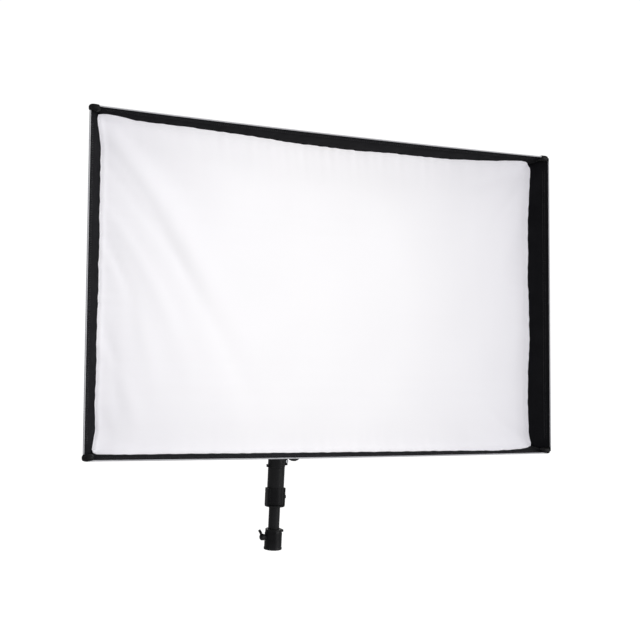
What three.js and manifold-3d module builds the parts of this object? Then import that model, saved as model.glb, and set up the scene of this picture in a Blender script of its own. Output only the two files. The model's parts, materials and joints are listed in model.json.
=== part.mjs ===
// A large LED panel light with its softbox, on a U-shaped yoke and the top of its stand.
// Millimetres, +Z up, +X to the right of somebody who looks at the lit front, which faces -Y.
// The origin is the middle of the stand collar's lower end.
import * as THREE from "three";
import { mergeVertices } from "three/addons/utils/BufferGeometryUtils.js";
import Module from "manifold-3d";

const wasm = await Module();
wasm.setup();

// ---------------------------------------------------------------- driving dimensions
const FRONT_WIDTH = 1140;
const FRONT_HEIGHT = 720;
const HEAD_WIDTH = 900;
const HEAD_HEIGHT = 626;
const HEAD_BACK = 346; // how far the rear face is behind the softbox's front edge
const PIVOT_DEPTH = 310; // how far the tilt axis is behind the softbox's front edge
const PIVOT_HEIGHT = 613;
const HEAD_TILT = 5.5; // degrees, the front looks slightly up
const RISER_RADIUS = 14;
const GAP = 0.3; // between pieces that touch
const PAST = 1; // how far a cutting tool runs past what it cuts
const ROUND = 28; // sides of a round piece about as thick as the column
const KNOB_ROUND = 20; // sides of a hub, socket or foot
const SMALL_ROUND = 16; // sides of a bolt, knob or rod
const SMALLEST_ROUND = 12; // sides of a screw

// The softbox, from its front edge back to the head.
const SOFTBOX_BACK = 150.7;
const SOFTBOX_SIDE_SLOPE = 0.742;
const SOFTBOX_TOP_SLOPE = 0.284;
const FABRIC = 3;
const RECESS = 41; // how far the white cloth is behind the front edge
const CLOTH = 2.5;
const CLOTH_CORNER_CUT = 26;
const frame = { front: 151, back: 156, halfWidth: 455, halfHeight: 316, band: 28 };
const corner = { inner: 548.5, outer: 573, low: 350.5, high: 366, front: -3, back: 14, bevel: 2.5, round: 4 };
const stay = { radius: 2.5, front: [552.3, 349.7, 15], back: [453.2, 311.8, 148.5] };

// The lamp head, from the bezel back.
const bezel = { front: 156.3, back: 162, border: 26 };
const panel = { front: 163, back: 166 };
const tray = { front: 166.3, back: 230, halfWidth: 440, halfHeight: 306, sheet: 1.5 };
const casing = { front: 162.3, shoulder: 262, wall: 2, halfWidth: 444, backHalfHeight: 232 };
const slot = { count: 10, pitch: 78, halfWidth: 5, halfLength: 28, depth: 8 }; // for cooling, in the slopes
const grille = { slots: 7, pitch: 17, halfWidth: 5, radius: 62 };
const endCap = { inner: 444.3, outer: 450, boss: 457, bossRadius: 30, bore: 6.4 };
const board = { near: 5, far: 430, halfHeight: 285, front: 225.4, back: 227.2 };
const chip = { size: 12, rise: 1.4, columns: 6, rows: 6 };
const sink = { front: 230.4, base: 235.4, back: 272, halfWidth: 330, halfHeight: 200, fins: 23, fin: 3 };
const fan = { x: 0, up: -60, size: 150, front: 276, back: 301, hole: 70, hub: 22, strut: 3 };
const blade = { count: 7, reach: 66, thick: 1.8, chord: 20, twist: 62 };
const supply = { left: -350, right: -160, low: -110, high: 120, front: 278, back: 323, wall: 4 };
const driver = { left: 160, right: 360, low: -90, high: 130, front: 288, back: 290 };

// What is on the rear face.
const console = { halfWidth: 130, halfHeight: 60, up: 120, front: 346.3, back: 349.3, rim: 12, round: 8 };
const screen = { halfWidth: 55, halfHeight: 28, up: 128, front: 346.9, back: 349.7 };
const dial = { x: 95, up: 125, radius: 14, shaft: 4, shaftFront: 338, front: 349.7, back: 366 };
const dialFlutes = { depth: 0.9, count: 10 };
const button = { x: 28, up: 80, radius: 5, flange: 7, front: 342.5, shoulder: 345.7, back: 352 };
const rocker = { x: -40, up: -190, depth: 345.5, halfWidth: 9, halfHeight: 10, tilt: 7, side: 0.6, end: 1.8 };
const inlet = { x: -100, up: -190, barrel: 12, bore: 9, front: 330, back: 362, flange: 18, mouth: 24 };
const data = { x: [20, 66], up: -190, barrel: 11, bore: 8.5, front: 334, back: 356, flange: 16, mouth: 16 };
const SOCKET_FLANGE = 2.5;
const handle = { x: 330, up: 100, radius: 8, reach: 392, bend: 28, foot: 15, footThick: 5 };

// The yoke and the tilt pivots.
const yoke = { low: 238, high: 246, arm: 461, thick: 8, halfBreadth: 20, eye: 24, foot: 400, bolt: 428 };
const washer = { inner: 457.3, outer: 460.7, bore: 8, radius: 29 };
const pivotBolt = { radius: 6, head: 11, headInner: 430, headOuter: 439, end: 487 };
const lever = { inner: 469.4, outer: 489, hub: 15, chamfer: 3, bore: 6.3, reach: 76, lean: 20 };
const leverBar = { inner: 474.4, thick: 9, end: 7 };
const kingBolt = { radius: 5, head: 11, low: 217, top: 254 };
const footBolt = { radius: 4, hole: 4.3, head: 8, headHeight: 5 };
const eye = { x: 45.4, ring: 9, wire: 2.5, stud: 5, base: 9, low: 226.6, centre: 258.8 };
const dome = { radius: 16, low: 218.6, side: 230, bore: 5.3, boreLow: 225.9 };

// The column, from its lower end up.
const collar = { radius: 21.7, flare: 22.6, rim: 20.6, bore: 14.3, socket: 17.6, socketTop: 22, top: 51 };
const collarSteps = { flareTop: 4.5, barrelLow: 6.5, barrelTop: 41, rimLow: 43.5 };
const collarTab = { inner: 17, outer: 25.5, halfBreadth: 4.5, low: 42.5, high: 48.5 };
const clamp = { up: 31, boss: 7.5, bossStart: 19, bossEnd: 24, screw: 3, hole: 3.4, hub: 8.3, hubEnd: 35.5 };
const clampArm = { radius: 3.6, way: [[-31, 34], [-33, 40], [-36, 45], [-38.5, 49]] }; // as [x, z]
const pad = { radius: 3, inner: 14.4, outer: 17 };
const receiver = { low: 107.5, flange: 25, flangeTop: 112.5, barrel: 21.2, top: 155 };
const ears = { half: 24.2, halfBreadth: 12, round: 5, low: 110.5, top: 153.5 };
const socketTube = { low: 155.3, radius: 20.9, roof: 199, top: 205, spigot: 13.5, spigotTop: 237.4 };
const swivel = { low: 205.3, top: 237.7, bore: 13.8, radius: 21.5, split: 0.8 };
const lug = { inner: 17, right: 26.5, halfBreadth: 8, low: 209.5, left: 26, leftHalf: 4, leftTop: 212.5 };
const ringScrew = { x: 22.8, up: 220, shank: 2.4, end: 7.8, head: 3.8, headHeight: 4, hole: 12 };
const lockKnob = { up: 125.5, turn: 36.7, screw: 4, radius: 7, inner: 25, outer: 45, flute: 1, flutes: 6 };
const lockBoss = { radius: 9, inner: 17, outer: 24.5 };
const riser = { low: 24, top: 196, bore: 11.5 };
const riserCap = { radius: 13.8, thick: 2, plug: 12 };

// ---------------------------------------------------------------- tools
const degrees = THREE.MathUtils.degToRad;

function material(color, roughness, metalness) {
  return new THREE.MeshStandardMaterial({ color, roughness, metalness });
}

const POWDER = material(0x17181a, 0.55, 0.4);
const BLACK_STEEL = material(0x141415, 0.45, 0.7);
const STEEL = material(0x8f9296, 0.35, 1);
const BRASS = material(0xb08d4a, 0.35, 1);
const BARE_ALUMINIUM = material(0xa9acb0, 0.45, 1);
const PLASTIC = material(0x151516, 0.6, 0);
const RUBBER = material(0x101010, 0.85, 0);
const FABRIC_BLACK = material(0x1c1c20, 0.9, 0);
const CLOTH_WHITE = material(0xf1f0f5, 0.85, 0);
const FROSTED = material(0xe9ebee, 0.5, 0);
const WHITE_PAINT = material(0xe6e6e4, 0.7, 0);
const CIRCUIT = material(0xdfe2dc, 0.6, 0);
const SCREEN = material(0x0c1116, 0.15, 0);

// The solid of a closed geometry.
function solid(geometry) {
  const bare = geometry.clone();
  bare.deleteAttribute("normal");
  bare.deleteAttribute("uv");
  const merged = mergeVertices(bare, 1e-4);
  return new wasm.Manifold(
    new wasm.Mesh({
      numProp: 3,
      vertProperties: merged.attributes.position.array,
      triVerts: new Uint32Array(merged.index.array),
    }),
  );
}

function geometryOf(made) {
  const mesh = made.getMesh();
  const geometry = new THREE.BufferGeometry();
  geometry.setAttribute("position", new THREE.BufferAttribute(mesh.vertProperties, 3));
  geometry.setIndex(new THREE.BufferAttribute(mesh.triVerts, 1));
  geometry.computeVertexNormals();
  return geometry;
}

function joined(first, ...others) {
  return geometryOf(others.reduce((sum, other) => sum.add(solid(other)), solid(first)));
}

function cut(body, ...tools) {
  return geometryOf(tools.reduce((left, tool) => left.subtract(solid(tool)), solid(body)));
}

// A box between two corners.
function block(x0, x1, y0, y1, z0, z1) {
  const box = new THREE.BoxGeometry(x1 - x0, y1 - y0, z1 - z0);
  return box.translate((x0 + x1) / 2, (y0 + y1) / 2, (z0 + z1) / 2);
}

// A solid of revolution round Z. Its profile is a list of [radius, height].
function turned(profile, sides = ROUND) {
  const points = profile.map(([radius, height]) => new THREE.Vector2(radius, height));
  return new THREE.LatheGeometry(points, sides).rotateX(Math.PI / 2);
}

function post(radius, low, high, sides = SMALL_ROUND) {
  return turned([[0, low], [radius, low], [radius, high], [0, high]], sides);
}

function tube(bore, radius, low, high, sides = ROUND) {
  return turned([[bore, low], [radius, low], [radius, high], [bore, high], [bore, low]], sides);
}

// Z to X, and Z to Y: they lay a turned piece along the width or along the depth.
const alongX = (geometry) => geometry.rotateY(Math.PI / 2);
const alongY = (geometry) => geometry.rotateX(-Math.PI / 2);

// An outline of [y, z] points drawn out along X.
function drawnAlongX(outline, x0, x1) {
  const shape = new THREE.Shape(outline.map(([y, z]) => new THREE.Vector2(y, z)));
  const bar = new THREE.ExtrudeGeometry(shape, { depth: x1 - x0, bevelEnabled: false });
  const turn = new THREE.Matrix4().set(0, 0, 1, x0, 1, 0, 0, 0, 0, 1, 0, 0, 0, 0, 0, 1);
  return bar.applyMatrix4(turn);
}

function roundedRectangle(halfWidth, halfHeight, radius) {
  const shape = new THREE.Shape();
  const [x, y] = [halfWidth - radius, halfHeight - radius];
  shape.absarc(x, y, radius, 0, Math.PI / 2);
  shape.absarc(-x, y, radius, Math.PI / 2, Math.PI);
  shape.absarc(-x, -y, radius, Math.PI, 1.5 * Math.PI);
  shape.absarc(x, -y, radius, 1.5 * Math.PI, 2 * Math.PI);
  return shape;
}

// A round bar that follows a curve.
function bentBar(path, radius, steps, sides) {
  const section = new THREE.Shape().absarc(0, 0, radius, 0, 2 * Math.PI);
  const options = { steps, extrudePath: path, curveSegments: sides / 2 };
  return new THREE.ExtrudeGeometry(section, options);
}

// A straight round bar between two points.
function straightBar(from, to, radius, sides = 10) {
  const start = new THREE.Vector3(...from);
  const along = new THREE.Vector3(...to).sub(start);
  const upright = new THREE.Vector3(0, 0, 1);
  const turn = new THREE.Quaternion().setFromUnitVectors(upright, along.clone().normalize());
  return post(radius, 0, along.length(), sides).applyQuaternion(turn).translate(...start);
}

const part = new THREE.Group();
const head = new THREE.Group();
head.position.set(0, 0, PIVOT_HEIGHT);
head.rotation.x = -degrees(HEAD_TILT);
part.add(head);

function place(group, name, geometry, look) {
  const mesh = new THREE.Mesh(geometry, look);
  mesh.name = name;
  group.add(mesh);
}

// Left first, as the object is seen from its front.
const SIDES = [["left", -1], ["right", 1]];

// The head's own frame has the tilt axis at its origin, so a depth behind the front edge is this Y.
const behind = (depth) => depth - PIVOT_DEPTH;

// ---------------------------------------------------------------- the column
function standCollar() {
  const { radius, flare, rim, bore, socket, socketTop, top } = collar;
  const { flareTop, barrelLow, barrelTop, rimLow } = collarSteps;
  const profile = [
    [socket, 0], [flare, 0], [flare, flareTop], [radius, barrelLow], [radius, barrelTop], [rim, rimLow],
    [rim, top], [bore, top], [bore, socketTop], [socket, socketTop], [socket, 0],
  ];
  const { inner, outer, halfBreadth, low, high } = collarTab;
  const boss = alongX(post(clamp.boss, -clamp.bossEnd, -clamp.bossStart)).translate(0, 0, clamp.up);
  const tab = block(inner, outer, -halfBreadth, halfBreadth, low, high);
  const screwHole = alongX(post(clamp.hole, -clamp.bossEnd - PAST, 0)).translate(0, 0, clamp.up);
  return cut(joined(turned(profile), boss, tab), screwHole);
}

// The pad between the clamp's screw and the riser.
function clampPad() {
  return alongX(post(pad.radius, -pad.outer, -pad.inner, SMALLEST_ROUND)).translate(0, 0, clamp.up);
}

// The clamp's lever, moulded on its screw.
function clampLever() {
  const { screw, hub, hubEnd, bossEnd, up } = clamp;
  const near = bossEnd + 0.5;
  const knuckle = turned([[0, near], [hub - 1, near], [hub, near + 2], [hub, hubEnd - 3],
    [hub - 3, hubEnd], [0, hubEnd]], SMALL_ROUND);
  const thread = post(screw, pad.outer + 0.4, near + PAST, SMALLEST_ROUND);
  const path = new THREE.CatmullRomCurve3(clampArm.way.map(([x, z]) => new THREE.Vector3(x, 0, z)));
  const arm = bentBar(path, clampArm.radius, 5, 8);
  const body = joined(knuckle, thread).rotateY(-Math.PI / 2).translate(0, 0, up);
  return joined(body, arm);
}

// The cap has a plug that fills the top of the riser's bore.
function riserCapBody() {
  const low = riser.top + GAP;
  const lid = post(riserCap.radius, low, low + riserCap.thick, ROUND);
  return joined(lid, post(riser.bore - GAP, riser.top - riserCap.plug, riser.top + PAST, ROUND));
}

function receiverCollar() {
  const { low, flange, flangeTop, barrel, top } = receiver;
  const bore = RISER_RADIUS + GAP;
  const body = turned([[bore, low], [flange, low], [flange, flangeTop - 2], [flange - 2, flangeTop],
    [barrel, flangeTop], [barrel, top], [bore, top], [bore, low]]);
  const earShape = roundedRectangle(ears.half, ears.halfBreadth, ears.round);
  const earOptions = { depth: ears.top - ears.low, bevelEnabled: false, curveSegments: 3 };
  const pair = new THREE.ExtrudeGeometry(earShape, earOptions).translate(0, 0, ears.low);
  const toKnob = (geometry) => alongX(geometry).rotateZ(degrees(lockKnob.turn)).translate(0, 0, lockKnob.up);
  const boss = toKnob(post(lockBoss.radius, lockBoss.inner, lockBoss.outer));
  const screwHole = toKnob(post(lockKnob.screw + GAP, 0, lockBoss.outer + PAST));
  return cut(joined(body, pair, boss), post(bore, low - PAST, top + PAST, ROUND), screwHole);
}

// A fluted outline: a circle whose radius swells and sinks.
function fluted(radius, depth, flutes) {
  const count = flutes * 4;
  const points = [];
  for (let i = 0; i < count; i++) {
    const angle = (i / count) * 2 * Math.PI;
    const r = radius - depth / 2 + (depth / 2) * Math.cos(angle * flutes);
    points.push(new THREE.Vector2(r * Math.cos(angle), r * Math.sin(angle)));
  }
  return new THREE.Shape(points);
}

function receiverKnob() {
  const { screw, radius, inner, outer, turn, up, flute, flutes } = lockKnob;
  const options = { depth: outer - inner, bevelEnabled: false };
  const grip = new THREE.ExtrudeGeometry(fluted(radius, flute, flutes), options).translate(0, 0, inner);
  const body = joined(grip, post(screw, RISER_RADIUS + 2 * GAP, inner + PAST, SMALLEST_ROUND));
  return alongX(body).rotateZ(degrees(turn)).translate(0, 0, up);
}

function receiverTube() {
  const { low, radius, roof, top, spigot, spigotTop } = socketTube;
  const bore = RISER_RADIUS + GAP;
  const thread = kingBolt.radius + GAP;
  const threadLow = kingBolt.low - PAST;
  return turned([[0, roof], [bore, roof], [bore, low], [radius, low], [radius, top], [spigot, top],
    [spigot, spigotTop], [thread, spigotTop], [thread, threadLow], [0, threadLow]]);
}

function swivelRing() {
  const { low, top, bore, radius, split } = swivel;
  const { halfBreadth, leftHalf } = lug;
  const rightLug = block(lug.inner, lug.right, -halfBreadth, halfBreadth, lug.low, top);
  const leftLug = block(-lug.left, -lug.inner, -leftHalf, leftHalf, low, lug.leftTop);
  const slit = block(bore - PAST, lug.right + PAST, -split, split, low - PAST, top + PAST);
  const { x, up, shank, hole, head: screwHead } = ringScrew;
  const screwHole = alongY(post(shank + GAP, -hole, hole, SMALLEST_ROUND)).translate(x, 0, up);
  const headSeat = alongY(post(screwHead + GAP, -2 * halfBreadth, -halfBreadth, SMALLEST_ROUND));
  const ring = joined(tube(bore, radius, low, top), rightLug, leftLug);
  const core = post(bore, low - PAST, top + PAST, ROUND);
  return cut(ring, core, slit, screwHole, headSeat.translate(x, 0, up));
}

function ringClampScrew() {
  const { x, up, shank, end, head: screwHead, headHeight } = ringScrew;
  const seat = lug.halfBreadth + GAP;
  const screw = joined(post(shank, -end, seat + PAST, SMALLEST_ROUND),
    post(screwHead, seat, seat + headHeight, SMALLEST_ROUND));
  return screw.rotateX(Math.PI / 2).translate(x, 0, up);
}

place(part, "stand_collar", standCollar(), BLACK_STEEL);
place(part, "clamp_pad", clampPad(), BRASS);
place(part, "clamp_lever", clampLever(), PLASTIC);
place(part, "riser_tube", tube(riser.bore, RISER_RADIUS, riser.low, riser.top), BLACK_STEEL);
place(part, "riser_cap", riserCapBody(), PLASTIC);
place(part, "receiver_collar", receiverCollar(), BLACK_STEEL);
place(part, "receiver_knob", receiverKnob(), PLASTIC);
place(part, "receiver_tube", receiverTube(), BLACK_STEEL);
place(part, "swivel_ring", swivelRing(), BLACK_STEEL);
place(part, "ring_clamp_screw", ringClampScrew(), STEEL);

// ---------------------------------------------------------------- the yoke
function yokeBar() {
  const end = yoke.arm + yoke.thick;
  const bar = block(-end, end, -yoke.halfBreadth, yoke.halfBreadth, yoke.low, yoke.high);
  const holes = [
    [0, kingBolt.radius + 1.4],
    [eye.x, eye.stud + GAP],
    [-yoke.bolt, footBolt.hole],
    [yoke.bolt, footBolt.hole],
  ].map(([x, radius]) => post(radius, yoke.low - PAST, yoke.high + PAST).translate(x, 0, 0));
  return cut(bar, ...holes);
}

// An upright with a round eye at the tilt axis and a foot that is bolted to the bar.
function yokeArm(side) {
  const outer = yoke.arm + yoke.thick;
  const low = yoke.high + GAP;
  const half = yoke.halfBreadth;
  const upright = block(yoke.arm, outer, -half, half, low, PIVOT_HEIGHT);
  const eyeDisc = alongX(post(yoke.eye, yoke.arm, outer, ROUND)).translate(0, 0, PIVOT_HEIGHT);
  const foot = block(yoke.foot, outer, -half, half, low, low + yoke.thick);
  const pivotHole = alongX(post(pivotBolt.radius + 0.4, yoke.arm - PAST, outer + PAST));
  const boltHole = post(footBolt.hole, low - PAST, low + yoke.thick + PAST).translate(yoke.bolt, 0, 0);
  const arm = cut(joined(upright, eyeDisc, foot), pivotHole.translate(0, 0, PIVOT_HEIGHT), boltHole);
  return side < 0 ? arm.rotateZ(Math.PI) : arm;
}

// A hexagon-headed bolt whose head rests on the height given.
function hexBolt(radius, headRadius, low, seat, top) {
  return joined(post(radius, low, seat + PAST, SMALLEST_ROUND), post(headRadius, seat, top, 6));
}

function safetyEye() {
  const ring = new THREE.TorusGeometry(eye.ring, eye.wire, 8, 20).rotateX(Math.PI / 2);
  const seat = yoke.high + GAP;
  const foot = joined(post(eye.stud, eye.low, seat + PAST), post(eye.base, seat, seat + 2));
  return joined(foot, ring.translate(0, 0, eye.centre)).translate(eye.x, 0, 0);
}

function safetyEyeNut() {
  const { radius, low, side, bore, boreLow } = dome;
  const profile = [[0, low]];
  const steps = 4;
  for (let step = 1; step <= steps; step++) {
    const angle = (step / steps) * (Math.PI / 2);
    profile.push([radius * Math.sin(angle), side - (side - low) * Math.cos(angle)]);
  }
  const top = yoke.low - GAP;
  profile.push([radius, top], [bore, top], [bore, boreLow], [0, boreLow]);
  return turned(profile, KNOB_ROUND).translate(eye.x, 0, 0);
}

// The clamping lever on a tilt pivot, drawn for the right side and pointing down.
function tiltLever(side) {
  const { inner, outer, hub, chamfer, bore, reach, lean } = lever;
  const body = alongX(turned([[bore, inner], [hub, inner], [hub, outer - chamfer], [hub - chamfer, outer],
    [bore, outer], [bore, inner]], KNOB_ROUND));
  const arm = new THREE.Shape();
  arm.absarc(0, 0, hub - PAST, 0, Math.PI);
  arm.absarc(0, -reach, leverBar.end, Math.PI, 2 * Math.PI);
  const options = { depth: leverBar.thick, bevelEnabled: false, curveSegments: 6 };
  const bar = new THREE.ExtrudeGeometry(arm, options);
  const turn = new THREE.Matrix4().set(0, 0, 1, leverBar.inner, 1, 0, 0, 0, 0, 1, 0, 0, 0, 0, 0, 1);
  const whole = joined(body, bar.applyMatrix4(turn));
  const hole = alongX(post(bore, inner - PAST, outer + PAST, KNOB_ROUND));
  const made = cut(whole, hole);
  if (side < 0) made.rotateZ(Math.PI);
  return made.rotateX(degrees(lean)).translate(0, 0, PIVOT_HEIGHT);
}

place(part, "yoke_bar", yokeBar(), POWDER);
const onBar = yoke.high + 2 * GAP;
place(part, "king_bolt", hexBolt(kingBolt.radius, kingBolt.head, kingBolt.low, onBar, kingBolt.top), STEEL);
place(part, "safety_eye", safetyEye(), STEEL);
place(part, "safety_eye_nut", safetyEyeNut(), RUBBER);
for (const [name, side] of SIDES) {
  const onFoot = onBar + yoke.thick;
  const { radius: shank, head: footHead, headHeight } = footBolt;
  const bolted = hexBolt(shank, footHead, yoke.low + PAST, onFoot, onFoot + headHeight);
  place(part, "yoke_arm_" + name, yokeArm(side), POWDER);
  place(part, "yoke_bolt_" + name, bolted.translate(side * yoke.bolt, 0, 0), STEEL);
  const ring = tube(washer.bore, washer.radius, washer.inner, washer.outer);
  const { radius, head: headRadius, headInner, headOuter, end } = pivotBolt;
  const bolt = joined(post(headRadius, headInner, headOuter, 6), post(radius, headOuter - PAST, end));
  const atPivot = (geometry) => geometry.rotateY((side * Math.PI) / 2).translate(0, 0, PIVOT_HEIGHT);
  place(part, "friction_washer_" + name, atPivot(ring), RUBBER);
  place(part, "pivot_bolt_" + name, atPivot(bolt), STEEL);
  place(part, "tilt_lever_" + name, tiltLever(side), PLASTIC);
}

// ---------------------------------------------------------------- the lamp head
const halfHead = HEAD_HEIGHT / 2;

// A flat rectangle round a middle, from its front to its back.
function flatPlate(x, up, halfWidth, halfHeight, { front, back }) {
  return block(x - halfWidth, x + halfWidth, behind(front), behind(back), up - halfHeight, up + halfHeight);
}

// A flat rectangle with a border left round its opening, at one depth.
function border(halfWidth, halfHeight, width, front, back) {
  const outer = block(-halfWidth, halfWidth, behind(front), behind(back), -halfHeight, halfHeight);
  const [x, z] = [halfWidth - width, halfHeight - width];
  return cut(outer, block(-x, x, behind(front) - PAST, behind(back) + PAST, -z, z));
}

// The head's side outline, as [y, z], smaller by an inset.
function headOutline(front, inset) {
  const shoulder = behind(casing.shoulder) - inset / 3;
  const back = behind(HEAD_BACK) - inset;
  const [tall, low] = [halfHead - inset, casing.backHalfHeight - inset / 3];
  return [[front, -tall], [shoulder, -tall], [back, -low], [back, low], [shoulder, tall], [front, tall]];
}

// A hole through the rear face, from one side of the sheet to the other.
const rearHoleSpan = [behind(HEAD_BACK) - 8, behind(HEAD_BACK) + PAST];

function rearHole(x, up, halfWidth, halfHeight) {
  return block(x - halfWidth, x + halfWidth, ...rearHoleSpan, up - halfHeight, up + halfHeight);
}

function roundRearHole(x, up, radius) {
  return alongY(post(radius, ...rearHoleSpan, KNOB_ROUND)).translate(x, 0, up);
}

// Cooling slots through the sloping faces above and below the rear face.
function coolingSlots() {
  const run = HEAD_BACK - casing.shoulder;
  const rise = halfHead - casing.backHalfHeight;
  const slope = Math.atan2(rise, run);
  const { count, pitch, halfWidth, halfLength, depth } = slot;
  const slots = [];
  for (let i = 0; i < count; i++) {
    for (const up of [-1, 1]) {
      const tool = block(-halfWidth, halfWidth, -halfLength, halfLength, -depth, depth);
      const x = (i - (count - 1) / 2) * pitch;
      tool.rotateX(-up * slope).translate(x, behind(casing.shoulder) + run / 2, up * (halfHead - rise / 2));
      slots.push(tool);
    }
  }
  return slots;
}

// The slots of the fan's grille fill a circle.
function grilleSlots() {
  const { slots, pitch, halfWidth, radius } = grille;
  const cuts = [];
  for (let i = 0; i < slots; i++) {
    const x = (i - (slots - 1) / 2) * pitch;
    cuts.push(rearHole(fan.x + x, fan.up, halfWidth, Math.sqrt(radius ** 2 - x ** 2)));
  }
  return cuts;
}

function rearCasing() {
  const front = behind(casing.front);
  const skin = drawnAlongX(headOutline(front, 0), -casing.halfWidth, casing.halfWidth);
  const space = drawnAlongX(headOutline(front - PAST, casing.wall), -casing.halfWidth - PAST,
    casing.halfWidth + PAST);
  const holes = [
    rearHole(0, console.up, console.halfWidth - console.rim, console.halfHeight - console.rim),
    rearHole(rocker.x, rocker.up, rocker.halfWidth + rocker.side, rocker.halfHeight + rocker.end),
    roundRearHole(inlet.x, inlet.up, inlet.barrel + GAP),
    ...data.x.map((x) => roundRearHole(x, data.up, data.barrel + GAP)),
  ];
  return cut(skin, space, ...holes, ...coolingSlots(), ...grilleSlots());
}

function headEndCap(side) {
  const sheet = drawnAlongX(headOutline(behind(casing.front), 0), endCap.inner, endCap.outer);
  const boss = alongX(post(endCap.bossRadius, endCap.outer - PAST, endCap.boss, ROUND));
  const bore = alongX(post(endCap.bore, endCap.inner - PAST, endCap.boss + PAST));
  const cap = cut(joined(sheet, boss), bore);
  return side < 0 ? cap.scale(-1, 1, 1) : cap;
}

// A mirrored geometry has its faces turned inside out, so their corners are put in the other order.
function turnFaces(geometry) {
  const index = geometry.index.array;
  for (let i = 0; i < index.length; i += 3) {
    [index[i + 1], index[i + 2]] = [index[i + 2], index[i + 1]];
  }
  return geometry;
}

function lightTray() {
  const { front, back, halfWidth, halfHeight, sheet } = tray;
  const body = block(-halfWidth, halfWidth, behind(front), behind(back), -halfHeight, halfHeight);
  const [x, z] = [halfWidth - sheet, halfHeight - sheet];
  return cut(body, block(-x, x, behind(front) - PAST, behind(back) - sheet, -z, z));
}

// A board with its light emitters in rows.
function ledBoard(side) {
  const { near, far, halfHeight, front, back } = board;
  const [x0, x1] = side < 0 ? [-far, -near] : [near, far];
  const emitters = [];
  for (let i = 0; i < chip.columns; i++) {
    for (let j = 0; j < chip.rows; j++) {
      const x = x0 + ((i + 0.5) / chip.columns) * (x1 - x0);
      const z = ((j + 0.5) / chip.rows - 0.5) * 2 * halfHeight;
      const half = chip.size / 2;
      const face = behind(front) - chip.rise;
      emitters.push(block(x - half, x + half, face, behind(front) + 0.5, z - half, z + half));
    }
  }
  return joined(block(x0, x1, behind(front), behind(back), -halfHeight, halfHeight), ...emitters);
}

// A base plate with upright fins, drawn as a comb and made as tall as the heat sink.
function heatSink() {
  const { front, base, back, halfWidth, halfHeight, fins, fin } = sink;
  const pitch = (2 * halfWidth - fin) / (fins - 1);
  const comb = new THREE.Shape();
  comb.moveTo(-halfWidth, behind(front));
  comb.lineTo(halfWidth, behind(front));
  for (let i = fins - 1; i >= 0; i--) {
    const x = -halfWidth + i * pitch;
    comb.lineTo(x + fin, behind(back));
    comb.lineTo(x, behind(back));
    if (i > 0) {
      comb.lineTo(x, behind(base));
      comb.lineTo(x - pitch + fin, behind(base));
    }
  }
  const sinkBody = new THREE.ExtrudeGeometry(comb, { depth: 2 * halfHeight, bevelEnabled: false });
  return sinkBody.translate(0, 0, -halfHeight);
}

function fanFrame() {
  const half = fan.size / 2;
  const [front, back] = [behind(fan.front), behind(fan.back)];
  const box = block(-half, half, front, back, -half, half);
  const hole = alongY(post(fan.hole, front - PAST, back + PAST, ROUND));
  const ring = cut(box, hole);
  const thin = back - fan.strut;
  const hub = alongY(post(fan.hub, thin, back, KNOB_ROUND));
  const [long, narrow] = [fan.hole + PAST, fan.strut];
  const across = block(-long, long, thin, back, -narrow, narrow);
  const upright = block(-narrow, narrow, thin, back, -long, long);
  return joined(ring, hub, across, upright).translate(fan.x, 0, fan.up);
}

function fanRotor() {
  const [front, back] = [behind(fan.front) + 1.5, behind(fan.back) - 4];
  const { count, reach, thick, chord, twist } = blade;
  const hub = alongY(post(fan.hub - 1, front, back, KNOB_ROUND));
  const blades = [];
  for (let i = 0; i < count; i++) {
    const vane = block(fan.hub - 4, reach, -thick / 2, thick / 2, -chord / 2, chord / 2);
    vane.rotateX(degrees(twist)).translate(0, (front + back) / 2, 0);
    blades.push(vane.rotateY((i / count) * 2 * Math.PI));
  }
  return joined(hub, ...blades).translate(fan.x, 0, fan.up);
}

// A housing that is open towards the heat sink.
function powerSupply() {
  const { left, right, low, high, front, back, wall } = supply;
  const body = block(left, right, behind(front), behind(back), low, high);
  const space = block(left + wall, right - wall, behind(front) - PAST, behind(back) - wall,
    low + wall, high - wall);
  return cut(body, space);
}

function driverBoard() {
  const { left, right, low, high, front, back } = driver;
  const plate = block(left, right, behind(front), behind(back), low, high);
  const parts = [[0.2, 0.75, 26, 16], [0.55, 0.7, 18, 20], [0.8, 0.35, 14, 24], [0.3, 0.25, 34, 12]];
  const blocks = parts.map(([across, up, half, tall]) => {
    const x = left + across * (right - left);
    const z = low + up * (high - low);
    return block(x - half / 2, x + half / 2, behind(back) - PAST, behind(back) + tall, z - half, z + half);
  });
  return joined(plate, ...blocks);
}

function controlPanel() {
  const { halfWidth, halfHeight, up, front, back } = console;
  const shape = roundedRectangle(halfWidth, halfHeight, console.round);
  const options = { depth: back - front, bevelEnabled: false, curveSegments: 3 };
  const plate = new THREE.ExtrudeGeometry(shape, options).rotateX(Math.PI / 2);
  plate.translate(0, behind(back), up);
  const hole = (x, z, radius) =>
    alongY(post(radius, behind(front) - PAST, behind(back) + PAST)).translate(x, 0, z);
  const [x, z] = [screen.halfWidth + GAP, screen.halfHeight + GAP];
  const window = block(-x, x, behind(front) - PAST, behind(back) + PAST, screen.up - z, screen.up + z);
  return cut(plate, window, ...SIDES.map(([, side]) => hole(side * dial.x, dial.up, dial.shaft + GAP)),
    ...SIDES.map(([, side]) => hole(side * button.x, button.up, button.radius + 0.4)));
}

function dialKnob(side) {
  const { x, up, radius, shaft, shaftFront, front, back } = dial;
  const outline = fluted(radius, dialFlutes.depth, dialFlutes.count);
  const grip = new THREE.ExtrudeGeometry(outline, { depth: back - front, bevelEnabled: false });
  const stem = post(shaft, behind(shaftFront), behind(front) + PAST);
  const body = joined(grip.translate(0, 0, behind(front)), stem);
  return alongY(body).translate(side * x, 0, up);
}

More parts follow.
